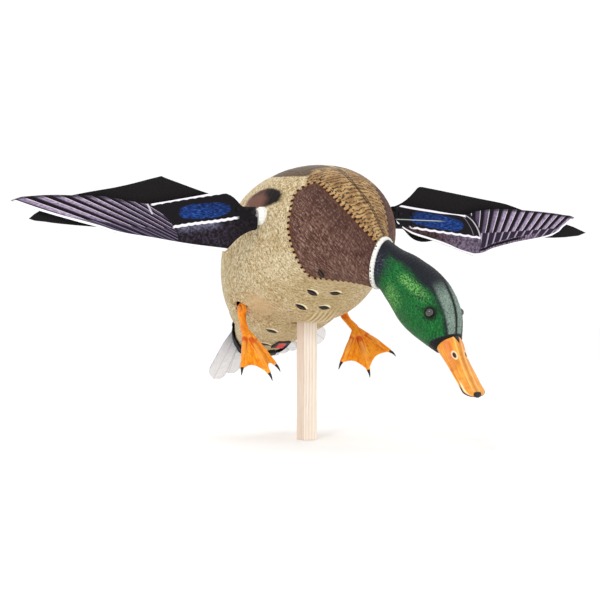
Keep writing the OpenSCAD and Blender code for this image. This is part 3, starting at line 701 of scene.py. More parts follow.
def wood():
    m = Mat("pale_wood", Specular_IOR_Level=0.3)
    x, y, z = m.split(m.place())
    drift = m.noise(0.02, 2, 0.5, m.join(x * 0.6, y * 0.6, z * 0.12)) * 6.0
    rings = m.sin((x * 0.9 + y * 1.3 + drift) * 1.6)
    fibre = m.noise(1.0, 4, 0.65, m.join(x * 1.5, y * 1.5, z * 0.03))
    c = m.mix(m.step(rings, -0.7, 0.9) * 0.45, rgb(244, 232, 218), rgb(218, 194, 170))
    c = m.mix(m.step(fibre, 0.5, 0.72) * 0.5, c, rgb(188, 158, 134))
    c = m.mix(m.step(fibre, 0.45, 0.3) * 0.5, c, rgb(250, 240, 228))
    # painted shade: the stake's -x face darker, and darker lines down its corners
    side = m.both(m.step(x, -9.0, -9.4), m.step(fibre, 0.2, 0.6))
    c = m.mix(side * 0.5, c, rgb(204, 178, 156))
    corner_shade = m.either(m.step(m.size(x), 8.9, 9.4), 0.0) * m.step(m.size(y), 8.9, 9.4)
    c = m.mix(corner_shade * 0.5, c, rgb(176, 146, 122))
    return m.done(c, m.step(fibre, 0.2, 0.8) * 0.2 + 0.5, fibre, 0.12)


def leaf_print(name, kind, side, front, chord):
    """The print on one wing leaf: kind A or B, side +1 on the drake's left, front +1 ahead of the axis,
    chord +1 where the print's trailing edge is the upper one."""
    m = Mat(name, Specular_IOR_Level=0.12)
    px, _, pz = m.split(m.place())
    _, ny, _ = m.split(m.cache["facing"])
    x, c = px * float(side), (pz - AXIS_Z) * float(chord)
    wob = m.noise(0.12, 3) - 0.5
    fine = m.noise(0.9, 3, 0.6)
    black = m.two(fine, 0.3, 0.7, (10, 8, 11), (24, 20, 25))
    art = black
    if kind == "A":
        lead = [(96, -28), (107, -41), (118, -45), (133, -43), (183, -38), (233, -31), (272, -25.5),
            (300, -18), (351, -6), (404, 10)]
        vx, vc, at, pitch = 60.0, -92.0, 300.0, 7.3
        q = (vc + (c - vc) * (at - vx) / (x - vx)) / pitch
        first = m.curve(c, [(-50, 205), (-30, 200), (-16, 206), (0, 222), (12, 240), (30, 262)])
    else:
        lead = [(100, -4), (122, -17), (145, -23), (169, -29), (215, -42.5), (223, -43.5), (250, -36),
            (278, -29), (343, -15.5), (362, -3), (381, 10)]
        vx, vc, pitch = 212.0, -118.0, 12.6
        q = (vx + (x - vx) * (0.0 - vc) / (c - vc)) / pitch
        first = m.curve(c, [(-50, 229), (-20, 229), (0, 222), (8, 214), (20, 205)])
    leadc = m.curve(x, lead)
    # primaries
    f = m.wrap(q + wob * 0.06)
    hair_run = (x * 0.25, c * 0.9) if kind == "A" else (x * 0.9, c * 0.25)
    hair = m.noise(0.8, 2, 0.5, m.join(*hair_run, 0.0))
    deep = m.step(x + c * 0.8, 345.0, 225.0) if kind == "A" else m.step(x, 272.0, 226.0)
    vane = m.two(hair, 0.35, 0.65, (120, 104, 130), (176, 160, 184))
    vane = m.mix(deep * 0.85, vane, rgb(52, 42, 66))
    vane = m.mix(m.step(f, 0.66, 0.42), vane, rgb(70, 56, 78))
    vane = m.mix(m.step(f, 0.86, 0.97), vane, rgb(214, 200, 218))
    vane = m.mix(m.either(m.step(f, 0.46, 0.38), m.step(f, 0.985, 1.0)), vane, rgb(16, 11, 18))
    prim = m.step(x - first, -0.6, 0.6)
    art = m.mix(prim, art, vane)
    if kind == "A":
        # covert strip along the leading edge
        cov_edge = m.curve(x, [(190, -16), (240, -17), (300, -11), (330, -8), (352, -5.6)])
        cov = m.both(m.step(c - cov_edge, 0.6, -0.6), prim, m.step(x, 345.0, 330.0))
        g = m.wrap(q * 1.35 + 0.3)
        cv = m.two(g, 0.6, 0.95, (26, 20, 34), (118, 106, 134))
        art = m.mix(m.both(cov, m.step(x, 340.0, 300.0)) * 0.85, art, cv)
        bar1 = m.curve(x, [(142, 27.5), (160, 24.5), (200, 17.5), (234, 10.8)])
        scal = m.size(m.sin(x * (math.pi / 10.5))) * 1.4
        white1 = m.both(m.step(m.size(c - bar1 + 0.9 - scal * 0.5) - 1.7, 0.3, -0.3),
            m.step(x, 236.0, 233.0), m.step(x, 134.0, 140.0))
        hook = m.both(m.step(m.size(x - 236.0 - (c - 4.0) * 0.5), 1.6, 0.9), m.near(c, 5.0, 7.0, 6.0))
        bar2 = m.curve(x, [(118, -1.5), (150, -7), (180, -11), (206, -15.5)])
        scal2 = m.size(m.sin(x * (math.pi / 8.5))) * 1.6
        white2 = m.both(m.step(m.size(c - bar2 + scal2 * 0.5) - 1.6, 0.3, -0.3),
            m.step(x, 208.0, 205.0), m.step(x, 120.0, 126.0))
        bx, bc, bw, bh = 166.0, 4.5, 34.0, 9.5
        below = m.both(m.step(c - bar2, -1.0, -2.5), m.step(x - first, 1.0, -3.0))
    else:
        cov_edge = m.curve(x, [(220, -15), (280, -11), (330, -7), (352, -5)])
        cov = m.both(m.step(c - cov_edge, 0.5, -0.5), prim, m.step(x, 352.0, 344.0))
        g = m.wrap(q + 0.45 + (c + 14.0) * 0.012)
        cv = m.two(g, 0.72, 0.92, (40, 30, 48), (170, 156, 178))
        art = m.mix(cov, art, cv)
        low = m.both(m.step(c - leadc, 9.5, 8.5), prim, m.step(x, 330.0, 300.0))
        art = m.mix(low, art, m.two(hair, 0.4, 0.6, (60, 46, 66), (150, 132, 156)))
        band = m.near(c - leadc, 6.6, 2.0, 1.4)
        art = m.mix(m.both(band, prim, m.step(x, 312.0, 285.0)), art, rgb(12, 8, 14))
        bar1 = m.curve(
            x, [(100, 20), (107, 18.7), (160, 12.5), (202, 8.6), (214, 3), (222, -6), (228, -20)]
        )
        white1 = m.both(m.step(m.size(c - bar1 + 1.1) - 1.3, 0.3, -0.3), m.step(x, 206.0, 203.0))
        off = m.size(x - m.curve(c, [(-24, 229), (-14, 226), (-4, 220), (4, 212), (9, 202)]))
        hook = m.both(m.step(off, 1.3, 0.8), m.step(c, -22.0, -20.0), m.step(c, 10.0, 9.0))
        off = m.size(x - m.curve(c, [(-24, 219), (-14, 216), (-4, 210), (4, 203), (9, 194)]))
        inner = m.both(m.step(off, 0.8, 0.4), m.step(c, -18.0, -16.0), m.step(c, 6.0, 5.0))
        art = m.mix(inner * 0.6, art, rgb(150, 134, 150))
        bar2 = m.curve(x, [(116, -8), (150, -12), (190, -16), (228, -20)])
        white2 = m.both(m.step(m.size(c - bar2 + m.size(m.sin(x * 0.24)) * 1.0) - 1.3, 0.3, -0.3),
            m.step(x, 230.0, 227.0), m.step(x, 117.0, 122.0))
        bx, bc, bw, bh = 160.0, -1.0, 42.0, 9.5
        below = m.both(m.step(c - bar2, -0.8, -2.2), m.step(x - first, 1.0, -3.0))
    # speculum
    sx, sc = (x - bx) / bw, (c - bc - (x - bx) * (-0.1 if kind == "A" else -0.12)) / bh
    spec = m.step(sx * sx * sx * sx + sc * sc + wob * 0.7, 1.1, 0.65)
    streak = m.noise(0.5, 3, 0.6, m.join(x * 0.35, c * 1.6, 0.0))
    blue = m.two(streak, 0.38, 0.64, (8, 20, 62), (30, 74, 152))
    blue = m.mix(m.step(sx - sc * 0.8, 0.9, -0.9) * 0.35, blue, rgb(8, 10, 40))
    blue = m.mix(m.step(streak, 0.62, 0.72) * 0.6, blue, rgb(84, 138, 204))
    art = m.mix(spec, art, blue)
    # coverts below the second white bar
    mott = m.noise(0.28, 4, 0.7)
    cvt = m.two(mott, 0.42, 0.66, (18, 13, 18), (60, 50, 66))
    if kind == "A":
        haze = m.both(m.step(c - bar2, -13.0, -2.0), m.near(x, 172.0, 34.0, 16.0))
        cvt = m.mix(haze * 0.6, cvt, m.two(mott, 0.35, 0.65, (66, 66, 92), (148, 146, 172)))
        cvt = m.mix(m.step(x, 150.0, 112.0) * 0.7, cvt, rgb(14, 10, 13))
    if kind == "B":
        warm = m.two(mott, 0.4, 0.6, (36, 23, 24), (76, 54, 58))
        cvt = m.mix(m.step(x, 150.0, 205.0) * 0.75, warm,
            m.two(mott, 0.38, 0.62, (62, 50, 70), (132, 118, 142)))
    art = m.mix(below, art, cvt)
    white = rgb(240, 236, 244)
    for w in (white1, white2, hook * 0.55):
        art = m.mix(w, art, white)
    if kind == "B":
        shaft = m.both(m.step(m.size(c - 0.6 + (x - 98.0) * 0.012), 0.7, 0.35), m.step(x, 176.0, 160.0))
        art = m.mix(shaft * 0.85, art, rgb(190, 200, 190))
    # unprinted margin along the leading edge, dark line at the trailing edge of the tip
    art = m.mix(m.step(c - leadc, 2.8, 2.2), art, rgb(246, 245, 247))
    art = m.mix(m.step(x, 101.0, 99.5) * 0.6, art, rgb(20, 18, 20))
    trail = [(230, 12), (247, 11.4), (272, 15), (296, 18), (333, 18), (368, 17), (404, 10)]
    if kind == "B":
        trail = [(206, 9), (220, 13.6), (252, 18), (300, 17.5), (343, 15), (362, 13), (381, 10)]
    tc = m.curve(x, trail)
    art = m.mix(m.both(m.step(tc - c, 4.2, 1.6), m.step(x, trail[1][0], trail[2][0])) * 0.8, art,
        rgb(20, 14, 22))
    inner_face = m.two(fine, 0.35, 0.7, (15, 13, 14), (30, 26, 28))
    out_face = m.step(ny * float(-front), 0.25, 0.45)
    art = m.mix(out_face, inner_face, art)
    height = m.step(f, 0.25, 0.4) * 0.35 + fine * 0.3
    return m.done(art, m.step(fine, 0.2, 0.8) * 0.14 + 0.55, height, 0.1)


def plastic(name, dark, light, rough=0.45, scale=0.5, depth=0.08):
    """Moulded plastic with a fine mottle."""
    m = Mat(name, Specular_IOR_Level=0.3)
    n = m.noise(scale, 4, 0.6)
    c = m.two(n, 0.35, 0.65, dark, light)
    return m.done(c, m.step(m.noise(scale * 0.2, 3), 0.3, 0.7) * 0.15 + rough, n, depth)


def metal(name, dark, light, rough=0.3, along=0):
    """Brushed metal, with its lines along one axis."""
    m = Mat(name, Metallic=1.0)
    k = [1.4, 1.4, 1.4]
    k[along] = 0.03
    n = m.noise(1.0, 4, 0.65, m.scaled(m.place(), *k))
    c = m.two(n, 0.3, 0.7, dark, light)
    return m.done(c, m.step(n, 0.3, 0.7) * 0.18 + rough, n, 0.04)


# ---------------------------------------------------------------- body, tail and head skins

def relief(p, n, along, round_, tall, pitch):
    """Overlapping rounded feathers, raised towards their tips."""
    row = along / pitch
    i = np.floor(row)
    f = row - i
    k = round_ / (pitch * 0.85) + 0.5 * (i % 2)
    w = (k - np.floor(k) - 0.5) * 2
    lobe = np.sqrt(np.maximum(1 - w * w, 0))
    h = np.clip((f - (1 - lobe) * 0.55), 0, 1)
    return p + n * (tall * (h - 0.45))[..., None]


def groove(p, n, line, depth, width):
    """Sinks a soft crease along a line of points."""
    line = np.asarray(line)
    t = np.linspace(0, len(line) - 1, 60)
    pts = spline(line, t)
    d = np.full(p.shape[:2], 1e9)
    for q in pts:
        d = np.minimum(d, np.linalg.norm(p - q, axis=2))
    return p - n * (depth * np.exp(-((d / width) ** 2)))[..., None]


def point(st, u, deg):
    """A point on a form at u and an angle of its section."""
    return sections(spline(st, u), np.radians([deg]))[0, 0]


def measures(p, ang):
    """Distance along the form, and round it from the back's middle line, in mm."""
    step = np.linalg.norm(np.diff(p.mean(axis=1), axis=0), axis=1)
    along = np.concatenate([[0], np.cumsum(step)])[:, None] + 0 * ang[None]
    top = np.abs((np.degrees(ang) - 90 + 180) % 360 - 180)
    size = np.linalg.norm(p - p.mean(axis=1, keepdims=True), axis=2).mean(axis=1)[:, None]
    return along, np.radians(top)[None] * size, top[None] + 0 * along


def shell(name, st, count, seg, rear, front, wall, tall=0.0, pitch=9.0, creases=()):
    """A closed shell: the outer skin with relief and a smooth inner wall."""
    rows, u = rows_of(st, count, rear, front)
    ang = around(seg)
    p = sections(rows, ang)
    n = normals_of(p)
    along, round_, top = measures(p, ang)
    fade = np.clip(np.minimum(np.arange(len(rows)), np.arange(len(rows))[::-1]) / 6, 0, 1)[:, None]
    out = relief(p, n, along, round_, tall * fade, pitch) if tall else p
    for line, depth, width in creases:
        out = groove(out, n, line, depth, width)
    m = len(rows)
    verts = out.reshape(-1, 3)
    faces = grid_faces(m, seg)
    if wall:
        inner = sections(rows, ang, wall)
        verts = np.concatenate([verts, inner.reshape(-1, 3)])
        faces += grid_faces(m, seg, m * seg, flip=True)
        for i, turn in ((0, True), (m - 1, False)):
            for k in range(seg):
                a, b = i * seg + k, i * seg + (k + 1) % seg
                q = (a, b, m * seg + b, m * seg + a)
                faces.append(q if turn else q[::-1])
    else:
        faces += lids(m, seg)
    ob = mesh_object(name, verts, faces)
    outward(ob)
    samples = {"p": out.reshape(-1, 3), "u": np.repeat(u, seg), "along": along.ravel(),
        "round": round_.ravel(), "top": top.ravel()}
    return ob, samples


def look_up(ob, samples):
    """The skin's own measures at each vertex of a piece cut from it."""
    tree = tree_of(samples["p"])
    co = coords(ob)
    hit = np.array([tree.find(q)[1] for q in co])
    return co, {k: v[hit] for k, v in samples.items() if k != "p"}


# Outline of the breast patch, and the almond marks, as u and degrees
CHEST = [
    (8.6, 45), (7.26, 43), (6.66, 42), (5.99, 38), (5.49, 34), (4.95, 30), (4.72, 31),
    (4.59, 40), (4.55, 52), (4.72, 65), (4.85, 80), (4.99, 92), (5.15, 110), (5.22, 125), (5.32, 139), (5.62, 144),
    (6.06, 153), (6.63, 156), (7.3, 160), (8.6, 164),
]
MARKS = [
    (4.59, 247), (4.92, 268), (3.58, 248), (3.88, 266), (5.72, 226), (5.72, 314), (1.15, 251), (1.15, 289),
]
# Patches of painted shade on the back: u and degrees of the middle, then half sizes
BACK_SHADE_PATCHES = [(3.5, 28, 0.5, 7), (4.0, 16, 0.45, 12), (2.6, 14, 0.4, 9)]


def inside_polygon(x, y, poly):
    """Which of the points lie inside an outline."""
    inside = np.zeros(x.shape, bool)
    j = len(poly) - 1
    for i in range(len(poly)):
        (xi, yi), (xj, yj) = poly[i], poly[j]
        hit = ((yi > y) != (yj > y)) & (x < (xj - xi) * (y - yi) / (yj - yi + 1e-12) + xi)
        inside ^= hit
        j = i
    return inside


def bump(u, t, cu, ct, ru, rt):
    """A soft oval spot about (cu, ct)."""
    return np.clip(1.6 - np.sqrt(((u - cu) / ru) ** 2 + ((t - ct) / rt) ** 2), 0, 1)


def paint_body(ob, samples, marks=MARKS, st=BODY, breast=True):
    """Stores what the plumage material reads on a body or tail skin."""
    co, f = look_up(ob, samples)
    u, t = f["u"], f["top"]
    attribute(ob, "along", f["along"])
    attribute(ob, "round", f["round"])
    chest, run = np.full(len(co), -60.0), np.zeros(len(co))
    if breast:
        pts, length = [], []
        line = np.array(CHEST)
        fine = spline(line, np.linspace(0, len(line) - 1, 420))
        for sgn in (-1, 1):
            row = np.array([point(st, min(a, 8), 90 - sgn * b) for a, b in fine])
            step = np.concatenate([[0], np.cumsum(np.linalg.norm(np.diff(row, axis=0), axis=1))])
            pts.append(row)
            length.append(step)
        pts, length = np.concatenate(pts), np.concatenate(length)
        tree = tree_of(pts)
        close = [tree.find(q) for q in co]
        dist = np.array([c[2] for c in close])
        run = length[[c[1] for c in close]]
        chest = np.where(inside_polygon(u, t, CHEST), dist, -dist)
    attribute(ob, "chest", chest)
    attribute(ob, "run", run)
    edge = np.interp(u, [4.2, 4.6, 4.95, 5.49, 5.99, 6.66, 8.6], [24, 40, 30, 34, 38, 42, 45])
    attribute(ob, "mantle", np.clip((edge + 4 - t) / 8, 0, 1) * np.clip((u - 3.9) / 0.5, 0, 1) * breast)
    # painted shade over the back and round the wing roots, read by the plumage material
    spots = sum(bump(u, t, *spot) for spot in BACK_SHADE_PATCHES)
    attribute(ob, "back_shade_patch", spots.clip(0, 1) * breast)
    attribute(ob, "root", bump(u, t, 3.42, 59, 0.58, 7) * breast)
    attribute(ob, "root_shade_depth", np.clip((u - 3.3) / 0.5, 0, 1) * 0.9 + np.clip((60 - t) / 6, 0, 1) * 0.5)
    x, y, z = co.T
    attribute(ob, "cuff", np.clip((172 - z) / 8, 0, 1) * np.clip((18 - np.abs(x)) / 3, 0, 1)
        * np.clip((y + 62) / 20, 0, 1) * (y < 4) * breast)
    attribute(ob, "flush", bump(u, t, 2.2, 137, 0.5, 10) * breast)
    # painted shade: darker towards the underside
    attribute(ob, "under", np.clip((t - 120) / 50, 0, 1))
    centres = np.array([point(st, a, b) for a, b in marks])
    side = np.array([point(st, a, b + 1) - point(st, a, b - 1) for a, b in marks])
    side /= np.linalg.norm(side, axis=1, keepdims=True)
    ahead = np.array([point(st, min(a + 0.05, 8), b) - point(st, a - 0.05, b) for a, b in marks])
    ahead -= side * (ahead * side).sum(axis=1, keepdims=True)
    ahead /= np.linalg.norm(ahead, axis=1, keepdims=True)
    d = np.linalg.norm(co[:, None] - centres[None], axis=2)
    k = d.argmin(axis=1)
    off = co - centres[k]
    attribute(ob, "mark_near", d.min(axis=1))
    attribute(ob, "mark_u", (off * side[k]).sum(axis=1))
    attribute(ob, "mark_v", (off * ahead[k]).sum(axis=1))


def prism(name, pts, z0, z1):
    """A block with the outline pts from z0 to z1."""
    n = len(pts)
    verts = [(x, y, z0) for x, y in pts] + [(x, y, z1) for x, y in pts]
    ob = mesh_object(name, verts, lids(2, n) + grid_faces(2, n), smooth=False)
    outward(ob)
    return ob


def rounded_square(x0, x1, y0, y1, r, steps=8):
    """The outline of a rectangle with round corners."""
    pts = []
    for cx, cy, a0 in ((x1 - r, y1 - r, 0), (x0 + r, y1 - r, 90), (x0 + r, y0 + r, 180),
        (x1 - r, y0 + r, 270)):
        for k in range(steps + 1):
            a = math.radians(a0 + 90 * k / steps)
            pts.append((cx + r * math.cos(a), cy + r * math.sin(a)))
    return pts


def densely(pts, parts=4):
    """Points evenly between those of a closed outline."""
    out = []
    for i in range(parts * len(pts)):
        k, t = i // parts % len(pts), i % parts / parts
        out.append(pts[k] * (1 - t) + pts[(k + 1) % len(pts)] * t)
    return np.array(out)


def rod_cutter(name, p, r, x0, x1, seg=40):
    """A round rod along x."""
    a = np.arange(seg) / seg * 2 * math.pi
    ring = np.stack([0 * a, p[0] + r * np.cos(a), p[1] + r * np.sin(a)], 1)
    verts = np.concatenate([ring + [x0, 0, 0], ring + [x1, 0, 0]])
    ob = mesh_object(name, verts, lids(2, seg) + grid_faces(2, seg), smooth=False)
    outward(ob)
    return ob


def join(name, parts):
    """One object from several, keeping their attributes."""
    verts, faces, at = [], [], {}
    start = 0
    for ob in parts:
        me = ob.data
        co = coords(ob)
        verts.append(co)
        faces += [tuple(start + i for i in p.vertices) for p in me.polygons]
        for a in me.attributes:
            if a.data_type == "FLOAT" and a.domain == "POINT":
                v = np.zeros(len(co), np.float32)
                a.data.foreach_get("value", v)
                at.setdefault(a.name, {})[start] = v
        start += len(co)
    verts = np.concatenate(verts)
    ob = mesh_object(name, verts, faces)
    for key, got in at.items():
        full = np.zeros(len(verts), np.float32)
        for s, v in got.items():
            full[s : s + len(v)] = v
        attribute(ob, key, full)
    for p in parts:
        drop(p)
    return ob


def placed(ob, matrix):
    """The piece with its vertices moved by a matrix."""
    ob.data.transform(matrix)
    ob.data.update()
    return ob


def underside(p, tilt=18.0, deep=15.0):
    """Places a piece square out of the underside of the tail, in metres."""
    return (
        Matrix.Translation(Vector((p[0], p[1] - BACK, p[2])) * MM)
        @ Matrix.Rotation(math.radians(-tilt), 4, "X")
        @ Matrix.Scale(-1, 4, (0, 0, 1))
        @ Matrix.Translation(Vector((0, 0, -deep)) * MM)
    )


# ---- body

detail = 1.0
TAN = tan_plumage()
hook = [point(BODY, 3.1, 168), point(BODY, 3.25, 178), point(BODY, 3.5, 186), point(BODY, 3.8, 188)]
thigh = [point(BODY, 2.9, 236), point(BODY, 2.5, 224), point(BODY, 2.0, 217), point(BODY, 1.5, 226)]
thigh_l = [point(BODY, 2.9, 304), point(BODY, 2.5, 316), point(BODY, 2.0, 323), point(BODY, 1.5, 314)]
creases = [(hook, 2.0, 2.2), (thigh, 1.4, 3.0), (thigh_l, 1.4, 3.0)]


def cuff_ribs(ob):
    """Ribs of the moulded cuff run up the belly ahead of the stake."""
    co = coords(ob)
    x, y, z = co.T
    fade = np.clip((170 - z) / 10, 0, 1) * np.clip((19 - np.abs(x)) / 4, 0, 1)
    fade *= np.clip((8 - y) / 8, 0, 1)
    fade *= np.clip((y + 62) / 14, 0, 1)
    lift = fade * (1.1 * np.cos(x * 2 * math.pi / RIB_PITCH) + 1.0)
    co[:, 2] -= lift
    move_to(ob, co)


rings, spokes = int(230 * detail), int(256 * detail)
body, samples = shell("body_skin", BODY, rings, spokes, 22, 0, SHELL_WALL, 0.3, 8.0, creases)
cuff_ribs(body)
cover = bpy.data.objects.new("cover_skin", body.data.copy())
bpy.context.collection.objects.link(cover)
ABOVE_SEAM = (290, 420)
cut = prism("cut", rounded_square(*COVER, COVER_CORNER), *ABOVE_SEAM)
boolean(body, cut, "DIFFERENCE")
drop(cut)
x0, x1, y0, y1 = COVER
smaller = (x0 + COVER_GAP, x1 - COVER_GAP, y0 + COVER_GAP, y1 - COVER_GAP)
cut = prism("cut", rounded_square(*smaller, COVER_CORNER - COVER_GAP), *ABOVE_SEAM)
boolean(cover, cut, "INTERSECT")
drop(cut)
cutters = [prism("cut", rounded_square(-16.2, 16.2, -16.2, 16.2, 3), 110, 185)]
for s in (-1, 1):
    cutters.append(rod_cutter("cut", (AXIS_Y, AXIS_Z), SHAFT_HOLE_R, s * 60, s * 120))
    cutters.append(rod_cutter("cut", (50 - BACK, 166), HIP_HOLE_R, s * 69.6, s * 120))
slot_ring = rounded_square(-7.6, 7.6, -11.1, 11.1, 0.6, 2)
slot_cut = placed(prism("cut", slot_ring, 0, 34), underside(SWITCH))
outward(slot_cut)
cutters.append(slot_cut)
for c in cutters:
    boolean(body, c, "DIFFERENCE")
paint_body(body, samples)
paint_body(cover, samples)
finish_with(body, TAN, "decoy", ["body_shell"])
finish_with(cover, TAN, "back_cover", ["back_cover"])

TAIL_MARKS = [(3.21, 243), (3.21, 297), (2.0, 252), (2.0, 288)]
rings, spokes = int(110 * detail), int(170 * detail)
tail, tail_samples = shell("tail_skin", TAIL, rings, spokes, 8, 0, 2.6, 0.22, 7.0)
turn = np.arange(32) / 32 * 2 * math.pi
plug_ring = [(PLUG_HOLE_R * math.cos(a), PLUG_HOLE_R * math.sin(a)) for a in turn]
plug_cut = placed(prism("cut", plug_ring, -14, 36), underside(PLUG))
outward(plug_cut)
for c in (slot_cut, plug_cut):
    boolean(tail, c, "DIFFERENCE")
for c in cutters + [plug_cut]:
    drop(c)
paint_body(tail, tail_samples, TAIL_MARKS, TAIL, breast=False)
finish_with(tail, TAN, "decoy", ["tail_section"])

# ---- boot round the stake

# Height and half width of the boot, from its lower lip up
levels = [(150.0, 14.6), (149.4, 15.3), (150.4, 16.0), (154, 16.2), (159, 16.6), (164, 17.6), (170, 18.0)]
boot_rows = []
for z, r in levels:
    pts = np.array(rounded_square(-r, r, -r, r, 3.0, 6))
    dense = densely(pts)
    run = np.where(np.abs(dense[:, 0]) > np.abs(dense[:, 1]), dense[:, 1], dense[:, 0])
    rib = 1 + (0.035 * np.cos(run * 2 * math.pi / RIB_PITCH) if 150.2 < z < 168 else 0 * run)
    boot_rows.append(np.concatenate([dense * rib[:, None], np.full((len(dense), 1), z)], 1))
inner = densely(np.array(rounded_square(-9.8, 9.8, -9.8, 9.8, 0.6, 6)))
inner_rows = [np.concatenate([inner, np.full((len(inner), 1), z)], 1) for z in (170, 150.0)]
grid = np.array(boot_rows + inner_rows)
faces = grid_faces(len(grid), grid.shape[1])
seg = grid.shape[1]
faces += last_to_first(len(grid), seg)
boot = mesh_object("boot_skin", grid.reshape(-1, 3), faces)
outward(boot)
finish_with(boot, boot_moulding(), "decoy", ["stake_boot"])

# ---- rump coverts and tail feathers

inflated = np.array(TAIL, float)
inflated[:3, 5:8] += 3.5
rows, u = rows_of(inflated[:3], 60, 12, 0)
ang = around(160)
p = sections(rows, ang)
n = normals_of(p)
along, round_, top = measures(p, ang)
p = relief(p, n, -along, round_, 1.0, 9.0)
mid = (p + np.roll(p, -1, 1))[:-1] / 2
mid[..., 1] += BACK
rag = 3.0 * np.abs(np.sin(round_[:-1] / 6))
c60, s60 = math.cos(math.radians(57)), math.sin(math.radians(57))
ly = (mid[..., 1] - 120) * c60 - (mid[..., 2] - 40) * s60
lz = (mid[..., 1] - 120) * s60 + (mid[..., 2] - 40) * c60
keep = ~((np.abs(ly) < 30) & (np.abs(lz) < 80)) & (mid[..., 1] + rag > 140)
keep &= ~((mid[..., 1] > 110) & (mid[..., 2] < 105))
seg = p.shape[1]
faces = [f for f, k in zip(grid_faces(len(rows), seg), keep.ravel()) if k]
rump = mesh_object("rump_skin", p.reshape(-1, 3), faces)
thicken(rump, 0.0016)
finish_with(rump, black_coverts(), "decoy", ["rump_coverts"])

QUILL = white_quill()
fan = (
    Matrix.Translation(Vector((0, 163 - BACK, 190)) * MM)
    @ Matrix.Rotation(math.radians(-FAN_ROLL), 4, "Y")
    @ Matrix.Rotation(math.radians(FAN_RISE), 4, "X")
)
ALONG, ACROSS = 60, 25
feathers = []
for k in range(-5, 6):
    reach, half = FAN_REACH / math.cos(math.radians(FAN_STEP * k)), 13.0
    ts, ws = np.linspace(0, 1, ALONG), np.linspace(-1, 1, ACROSS)
    run = 40 + (reach - 40) * ts
    wide = np.interp(run, [40, reach * 0.62, reach - half], [3.2, half * 0.86, half])
    round_end = np.clip((run - (reach - half)) / half, 0, 1)
    wide = wide * np.sqrt(np.maximum(1 - round_end**2, 0.0004))
    w = ws[None] * wide[:, None]
    lift = -0.0035 * w**2 + 0.10 * np.sin(run[:, None] * 1.1 + np.abs(w) * 1.4)
    lift = lift + 0.8 * (ts[:, None] ** 2)
    verts = np.stack([w, -0.7 * abs(k) + 0.7 + lift, -run[:, None] + 0 * w], 2).reshape(-1, 3)
    ob = mesh_object("quill", verts, grid_faces(ALONG, ACROSS, closed=False))
    attribute(ob, "across", w.ravel())
    attribute(ob, "along", np.repeat(run, ACROSS))
    edge = np.minimum((1 - np.abs(ws))[None] * wide[:, None], (reach - run)[:, None])
    attribute(ob, "edge", edge.ravel())
    attribute(ob, "seed", np.full(ALONG * ACROSS, float(k)))
    thicken(ob, 0.0007)
    back = 0.7 * abs(k)
    spine = [(0, 0.5 - back, -41), (0, 0.9 - back, -reach * 0.7), (0, 1.5 - back, -reach + 4)]
    shaft = tube("shaft", spine, [1.2, 0.8, 0.3], 8, own_frame=False, up=(1, 0, 0))
    sc = coords(shaft)
    attribute(shaft, "across", np.zeros(len(sc)))
    attribute(shaft, "along", -sc[:, 2])
    attribute(shaft, "edge", np.full(len(sc), 5.0))
    turn = fan @ Matrix.Rotation(math.radians(-FAN_STEP * k), 4, "Y")
    for part in (ob, shaft):
        feathers.append(placed(part, turn))
fan_ob = join("tail_quills", feathers)
finish_with(fan_ob, QUILL, "decoy", ["tail_feathers"])

# ---- head, neck ring and bill

eye_row = spline(HEAD, EYE_AT)
_, eye_side, eye_up = axes(eye_row)
EYES = [eye_row[0, :3] - s * EYE_SIDE * eye_side[0] + EYE_UP * eye_up[0] - [0, BACK, 0] for s in (1, -1)]


def paint_form(ob, samples, extra):
    """Stores what the head and bill materials read."""
    co, f = look_up(ob, samples)
    attribute(ob, "hu", f["u"])
    attribute(ob, "ht", f["top"])
    attribute(ob, "along", f["along"])
    attribute(ob, "round", f["round"])
    for key, values in extra(co).items():
        attribute(ob, key, values)


def head_extra(co):
    """Distances from the eyes and from the bill's base."""
    gape_row = spline(BILL, 0.55)[0, :3] - [0, BACK, 0]
    ahead = axes(spline(BILL, 0.55))[0][0]
    up = axes(spline(BILL, 0.55))[2][0]
    d = (gape_row - co) @ ahead
    tall = (co - gape_row) @ up
    return {
        "eye": np.min([np.linalg.norm(co - e, axis=1) for e in EYES], axis=0),
        "gape": d + 0.35 * np.maximum(tall, -6) - 1.0,
    }


def shape_head(ob):
    """Raises the rims of the eyes and eases the surface."""
    co = coords(ob)
    d = np.min([np.linalg.norm(co - e, axis=1) for e in EYES], axis=0)
    push = 0.9 * np.exp(-(((d - 6.0) / 1.1) ** 2)) - 0.8 * np.exp(-(((d - 9.0) / 2.0) ** 2))
    lift = np.array([perlin.noise(Vector(q) * 0.045) for q in co])
    push_out(ob, co, push + 0.5 * lift)


head, head_samples = shell("head_skin", HEAD, int(150 * detail), int(180 * detail), 0, 4, 0, 0.3, 4.2)
shape_head(head)
paint_form(head, head_samples, head_extra)
finish_with(head, head_plumage(), "head", ["head_shell"])

NOSTRILS = [point(BILL, NOSTRIL_AT, a) for a in (125, 55)]


def nostril_field(co):
    """Distance from the nearer nostril, long ways drawn in."""
    ahead = axes(spline(BILL, NOSTRIL_AT))[0][0]
    out = []
    for q in NOSTRILS:
        off = co - q
        run = off @ ahead
        rest = off - run[:, None] * ahead
        out.append(np.sqrt((run * 0.62) ** 2 + (rest**2).sum(axis=1)) * 1.35)
    return np.min(out, axis=0)


